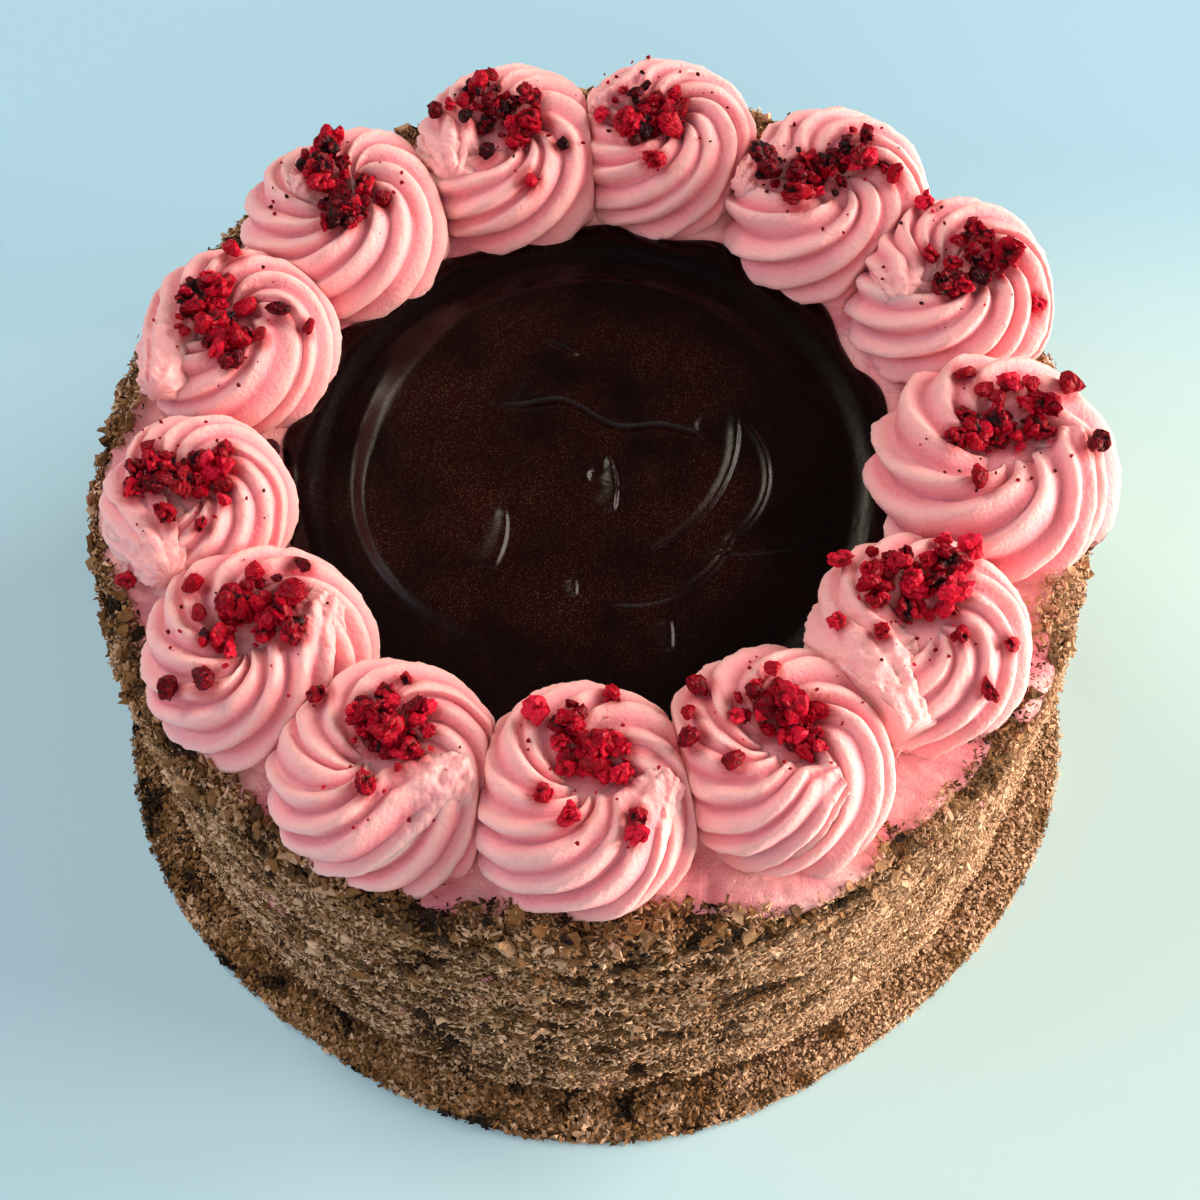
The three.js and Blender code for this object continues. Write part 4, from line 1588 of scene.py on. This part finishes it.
@dataclass
class GanachePool:
    """The set ganache with its spatula marks."""

    depth: float = 2.7           # below the cake's top
    edge_height: float = 1.4
    edge_start: float = 53.0     # radius where the pool swells towards its edge
    edge_width: float = 4.0      # in which the rounded edge goes down
    edge_inset: float = 4.5      # of the hollows between the edge's lobes, from the radius
    lobe: float = 3.0            # how far the thirteen lobes stand out of the hollows
    film: float = 0.4            # of the thinnest places
    swell: float = 0.25
    streak_height: float = 0.06
    lip_height: float = 0.9
    crease_depth: float = 0.25
    crease_width: float = 0.7
    ring_radius: float = 48.5    # of the flat disc that the last turn of the spatula left
    ring_drop: float = 1.4
    ring_flank: float = 5.0      # usual width of the slope round the disc
    stir_middle: tuple[float, float] = (6.0, -3.0)     # of the swell and the streaks
    rings: int = 190
    columns: int = 500
    marks: tuple[SpatulaMark, ...] = (
        SpatulaMark(-2, 11.5, 32.3, -64, 4, 0.7, 1.3, 0.35, -0.4),
        SpatulaMark(18, 0, 18.2, -62, 42, 0.5, 0.9, 0.6),
        SpatulaMark(7.5, -7.8, 21.8, -104, -18, 0.45, 0.9, 0.8),
        SpatulaMark(30.5, 19, 37.6, -104, -65, 0.4, 1.2, 0.5),
        SpatulaMark(-15.1, -2.3, 20, -19, 19, 0.8, 2.6, 0.18, 0.6),
        SpatulaMark(-37.4, -10.7, 20, -34, 10, 0.7, 3.0, 0.18, 0.5),
        SpatulaMark(-5, -36.8, 20, -10, 10, 0.5, 2.4, 0.2),
        SpatulaMark(-11.7, -25.8, 8, -15, 15, 0.5, 1.6, 0.3),
        SpatulaMark(-26.7, -2.7, 40, 52.5, 63.5, -0.5, 0.8, 0.5),
        SpatulaMark(-3.4, -0.5, 57, 120, 190, 0.6, 3.0, 0.6),
    )
    piece: bpy.types.Object | None = field(default=None, init=False)

    def fold(self, x: np.ndarray, y: np.ndarray) -> tuple[np.ndarray, np.ndarray]:
        """The lip where one stroke was laid over the last.

        Behind a wavy line the surface stands up within a millimetre and a half and sinks again
        over the next few, along the line runs a crease with a bell's section, and a torn
        corner ends both on the right.

        Args:
            x: Places in millimetres.
            y: Places in millimetres.

        Returns:
            Extra height in millimetres, and from 0 to 1 how far down the crease a place is.
        """
        line = 13.5 + 4.0 * np.cos((x + 15.0) / 10.5) - 1.2 * np.sin(x / 3.1)
        behind = y - line
        end = smooth((25.0 + 2.0 * np.sin(y / 2.3) - x) / 2.0) * smooth((x + 24.0) / 14.0)
        crease = end * np.exp(-(behind / self.crease_width) ** 2)
        sinking = smooth(behind / 1.6) * np.exp(-np.maximum(behind, 0.0) / 6.0)
        return self.lip_height * end * sinking - self.crease_depth * crease, crease

    def relief(self, x: np.ndarray, y: np.ndarray) -> np.ndarray:
        """How high the ganache stands above the cake's top.

        A slow swell, a flat disc within a moat, the marks, the fold, fine streaks that run
        round the pool, and a rounded lobed edge that dips under the cake's top.

        Args:
            x: Places in millimetres.
            y: Places in millimetres.

        Returns:
            Heights in millimetres.
        """
        reach, azimuth = np.hypot(x, y), np.arctan2(y, x)
        lobes = self.lobe * np.abs(np.sin(6.5 * azimuth + 0.4)) + 1.2 * np.sin(17 * azimuth + 2.0)
        edge = POOL_RADIUS - self.edge_inset + lobes
        outer = np.clip((reach - edge) / self.edge_width + 1.0, 0, 1)
        aside, beyond = x - self.stir_middle[0], y - self.stir_middle[1]
        far, turn = np.hypot(aside, beyond), np.arctan2(beyond, aside)
        height = self.film + self.swell * np.sin(0.09 * far - turn)
        height = height + self.edge_height * smooth((reach - self.edge_start) / 6.0)
        disc = np.hypot(x - 1.0, y - 1.0) + 1.4 * np.sin(2.0 * azimuth) + 0.6 * np.sin(5.0 * azimuth)
        drop = self.ring_drop * (0.62 + 0.38 * np.cos(azimuth - 2.9))
        flank = self.ring_flank + 2.2 * np.sin(3.0 * azimuth + 0.6)
        height = height + drop * smooth((self.ring_radius + 2.0 - disc) / flank)
        for mark in self.marks:
            height = height + mark.rise(x, y)
        height = height + self.fold(x, y)[0]
        streaks = np.stack([far, 9.0 * np.cos(turn), 9.0 * np.sin(turn)], axis=-1).reshape(-1, 3)
        height = height + self.streak_height * rough_noise(streaks, 1.6, 8).reshape(x.shape)
        return np.sqrt(1.0 - outer ** 2) * height - 0.7 * smooth((reach - edge) / 0.8)

    def build(self) -> None:
        """Makes the pool as a closed disc with a worked top."""
        angle = np.linspace(0, 2 * np.pi, self.columns, endpoint=False)
        reach = POOL_RADIUS * np.linspace(1.0, 0.012, self.rings)
        x, y = np.outer(reach, np.cos(angle)), np.outer(reach, np.sin(angle))
        top = np.stack([x, y, CAKE_HEIGHT + self.relief(x, y)], axis=-1)
        floor = CAKE_HEIGHT - self.depth
        wall = top[:1].copy()
        wall[..., 2] = floor
        centre = np.array([0, 0, CAKE_HEIGHT + self.relief(np.zeros(1), np.zeros(1))[0]])
        points, faces = skin(np.concatenate([wall, top]), np.array([0, 0, floor]), centre)
        self.piece = make_piece("ganache_pool", points, faces)
        # The material paints this crease dark by turning off its reflection: painted shade.
        add_attribute(self.piece, "crease", self.fold(points[:, 0], points[:, 1])[1])

    def dress(self) -> None:
        """Gives the pool its finish and its place in the model."""
        self.piece.data.materials.append(Ganache().material())
        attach(self.piece, BODY)
        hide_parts("ganache")
        log.info("%s: %d triangles", self.piece.name, len(self.piece.data.polygons))


# ---------------------------------------------------------------- studio


@dataclass(frozen=True)
class SoftLight:
    """A large soft lamp: where it hangs in metres, its size, power and colour."""

    name: str
    place: tuple[float, float, float]
    size: float
    power: float
    colour: str


@dataclass
class Studio:
    """Pale floor, soft light and the camera."""

    floor_near: str = "#b9dae9"
    floor_far_shaded: str = "#9cc4d7"
    floor_mint_lit: str = "#c2e0e0"
    floor_half: float = 4000.0   # millimetres
    world: str = "#dfe9f2"
    world_strength: float = 0.09
    lens: float = 66.72          # millimetres, on a sensor 36 wide
    distance: float = 542.23     # millimetres from the cake's origin
    elevation: float = 64.641    # degrees, as are the next three
    yaw: float = 0.155
    pitch: float = 2.074
    roll: float = -1.318
    lights: tuple[SoftLight, ...] = (
        SoftLight("window_right", (2.0, 0.7, 1.1), 1.2, 62.0, "#fff3e8"),
        SoftLight("low_sun_right", (2.1, -0.35, 0.3), 0.7, 82.0, "#fff0e0"),
        SoftLight("sky_left", (-1.9, -0.2, 1.3), 1.6, 22.0, "#dde9f8"),
        SoftLight("room_front", (0.2, -2.2, 1.2), 1.6, 9.0, "#fff6ee"),
        SoftLight("ceiling_front", (-0.2, -1.4, 2.3), 2.0, 19.0, "#f4f4f4"),
        SoftLight("window_back_left", (-1.3, 1.5, 1.5), 0.9, 25.0, "#f4ead0"),
    )

    def add_floor(self) -> None:
        """Lays a wide pale card: sky blue, with painted shade that deepens it far off and painted
        warm light that turns it mint towards the near right.
        """
        corners = np.array([[-1, -1, 0], [1, -1, 0], [1, 1, 0], [-1, 1, 0]])
        floor = make_piece("floor", self.floor_half * corners, np.array([[0, 1, 2, 3]]))
        material, tree, place = new_material("pale_matte_card")
        split = add_node(tree, "ShaderNodeSeparateXYZ", {0: place})
        # Painted light and shade: mint towards the near right, deeper blue far off.
        across = add_node(tree, "ShaderNodeMapRange", {
            "Value": split.outputs["X"], "From Min": -0.12, "From Max": 0.1,
        }, interpolation_type="SMOOTHSTEP")
        nearer = add_node(tree, "ShaderNodeMapRange", {
            "Value": split.outputs["Y"], "From Min": 0.16, "From Max": 0.04,
        }, interpolation_type="SMOOTHSTEP")
        share = add_node(tree, "ShaderNodeMath", {
            0: across.outputs[0], 1: nearer.outputs[0]}, operation="MULTIPLY")
        farther = add_node(tree, "ShaderNodeMapRange", {
            "Value": split.outputs["Y"], "From Min": 0.02, "From Max": 0.16,
        }, interpolation_type="SMOOTHSTEP")
        blue = add_node(tree, "ShaderNodeMix", {
            "Factor": farther.outputs[0], "A": linear(self.floor_near), "B": linear(self.floor_far_shaded),
        }, data_type="RGBA")
        tint = add_node(tree, "ShaderNodeMix", {
            "Factor": share.outputs[0], "A": blue.outputs["Result"], "B": linear(self.floor_mint_lit),
        }, data_type="RGBA")
        shader = add_node(tree, "ShaderNodeBsdfPrincipled", {
            "Base Color": tint.outputs["Result"], "Roughness": 0.8})
        add_node(tree, "ShaderNodeOutputMaterial", {"Surface": shader.outputs[0]})
        floor.data.materials.append(material)

    def add_lights(self) -> None:
        """Hangs the lamps, all turned to the cake, in a pale world."""
        for light in self.lights:
            lamp = bpy.data.lights.new(light.name, "AREA")
            lamp.size = light.size
            lamp.energy = light.power
            lamp.color = linear(light.colour)[:3]
            holder = bpy.data.objects.new(light.name, lamp)
            bpy.context.scene.collection.objects.link(holder)
            place = Vector(light.place)
            aim = Vector((0, 0, CAKE_HEIGHT * MM)) - place
            turn = aim.to_track_quat("-Z", "Y").to_matrix().to_4x4()
            holder.matrix_world = Matrix.Translation(place) @ turn
        world = bpy.data.worlds.new("pale_room")
        world.use_nodes = True
        back = world.node_tree.nodes["Background"]
        back.inputs["Color"].default_value = linear(self.world)
        back.inputs["Strength"].default_value = self.world_strength
        bpy.context.scene.world = world
        bpy.context.scene.view_settings.view_transform = "Standard"

    def add_camera(self) -> None:
        """Sets the camera up at the viewing angle."""
        camera = bpy.data.cameras.new("view")
        camera.sensor_width = 36.0
        camera.lens = self.lens
        camera.clip_start = 0.01
        holder = bpy.data.objects.new("view", camera)
        bpy.context.scene.collection.objects.link(holder)
        height = math.radians(self.elevation)
        place = Vector((0, -self.distance * math.cos(height), self.distance * math.sin(height))) * MM
        turn = Matrix.Rotation(math.pi / 2 - height, 4, "X")
        for angle, axis in ((-self.yaw, "Y"), (self.pitch, "X"), (self.roll, "Z")):
            turn = turn @ Matrix.Rotation(math.radians(angle), 4, axis)
        holder.matrix_world = Matrix.Translation(place) @ turn
        bpy.context.scene.camera = holder

    def build(self) -> None:
        """Builds the floor, lights and camera."""
        self.add_camera()
        self.add_floor()
        self.add_lights()


# ---------------------------------------------------------------- the cake


def main() -> None:
    """Builds the cake's pieces in order and reports each one."""
    logging.basicConfig(level=logging.INFO, format="%(message)s")
    Studio().build()
    rosettes = [Rosette(plan, index + 1) for index, plan in enumerate(ROSETTES)]
    for rosette in rosettes:
        rosette.build()
    crumbs = BerryCrumbs(rosettes).build()
    cream = Buttercream().material()
    for rosette in rosettes:
        rosette.dress(cream, crumbs)
    coat = CakeCoat()
    coat.build()
    coat.dress()
    ChocolateShavings(coat).build()
    pool = GanachePool()
    pool.build()
    pool.dress()


if __name__ == "__main__":
    main()
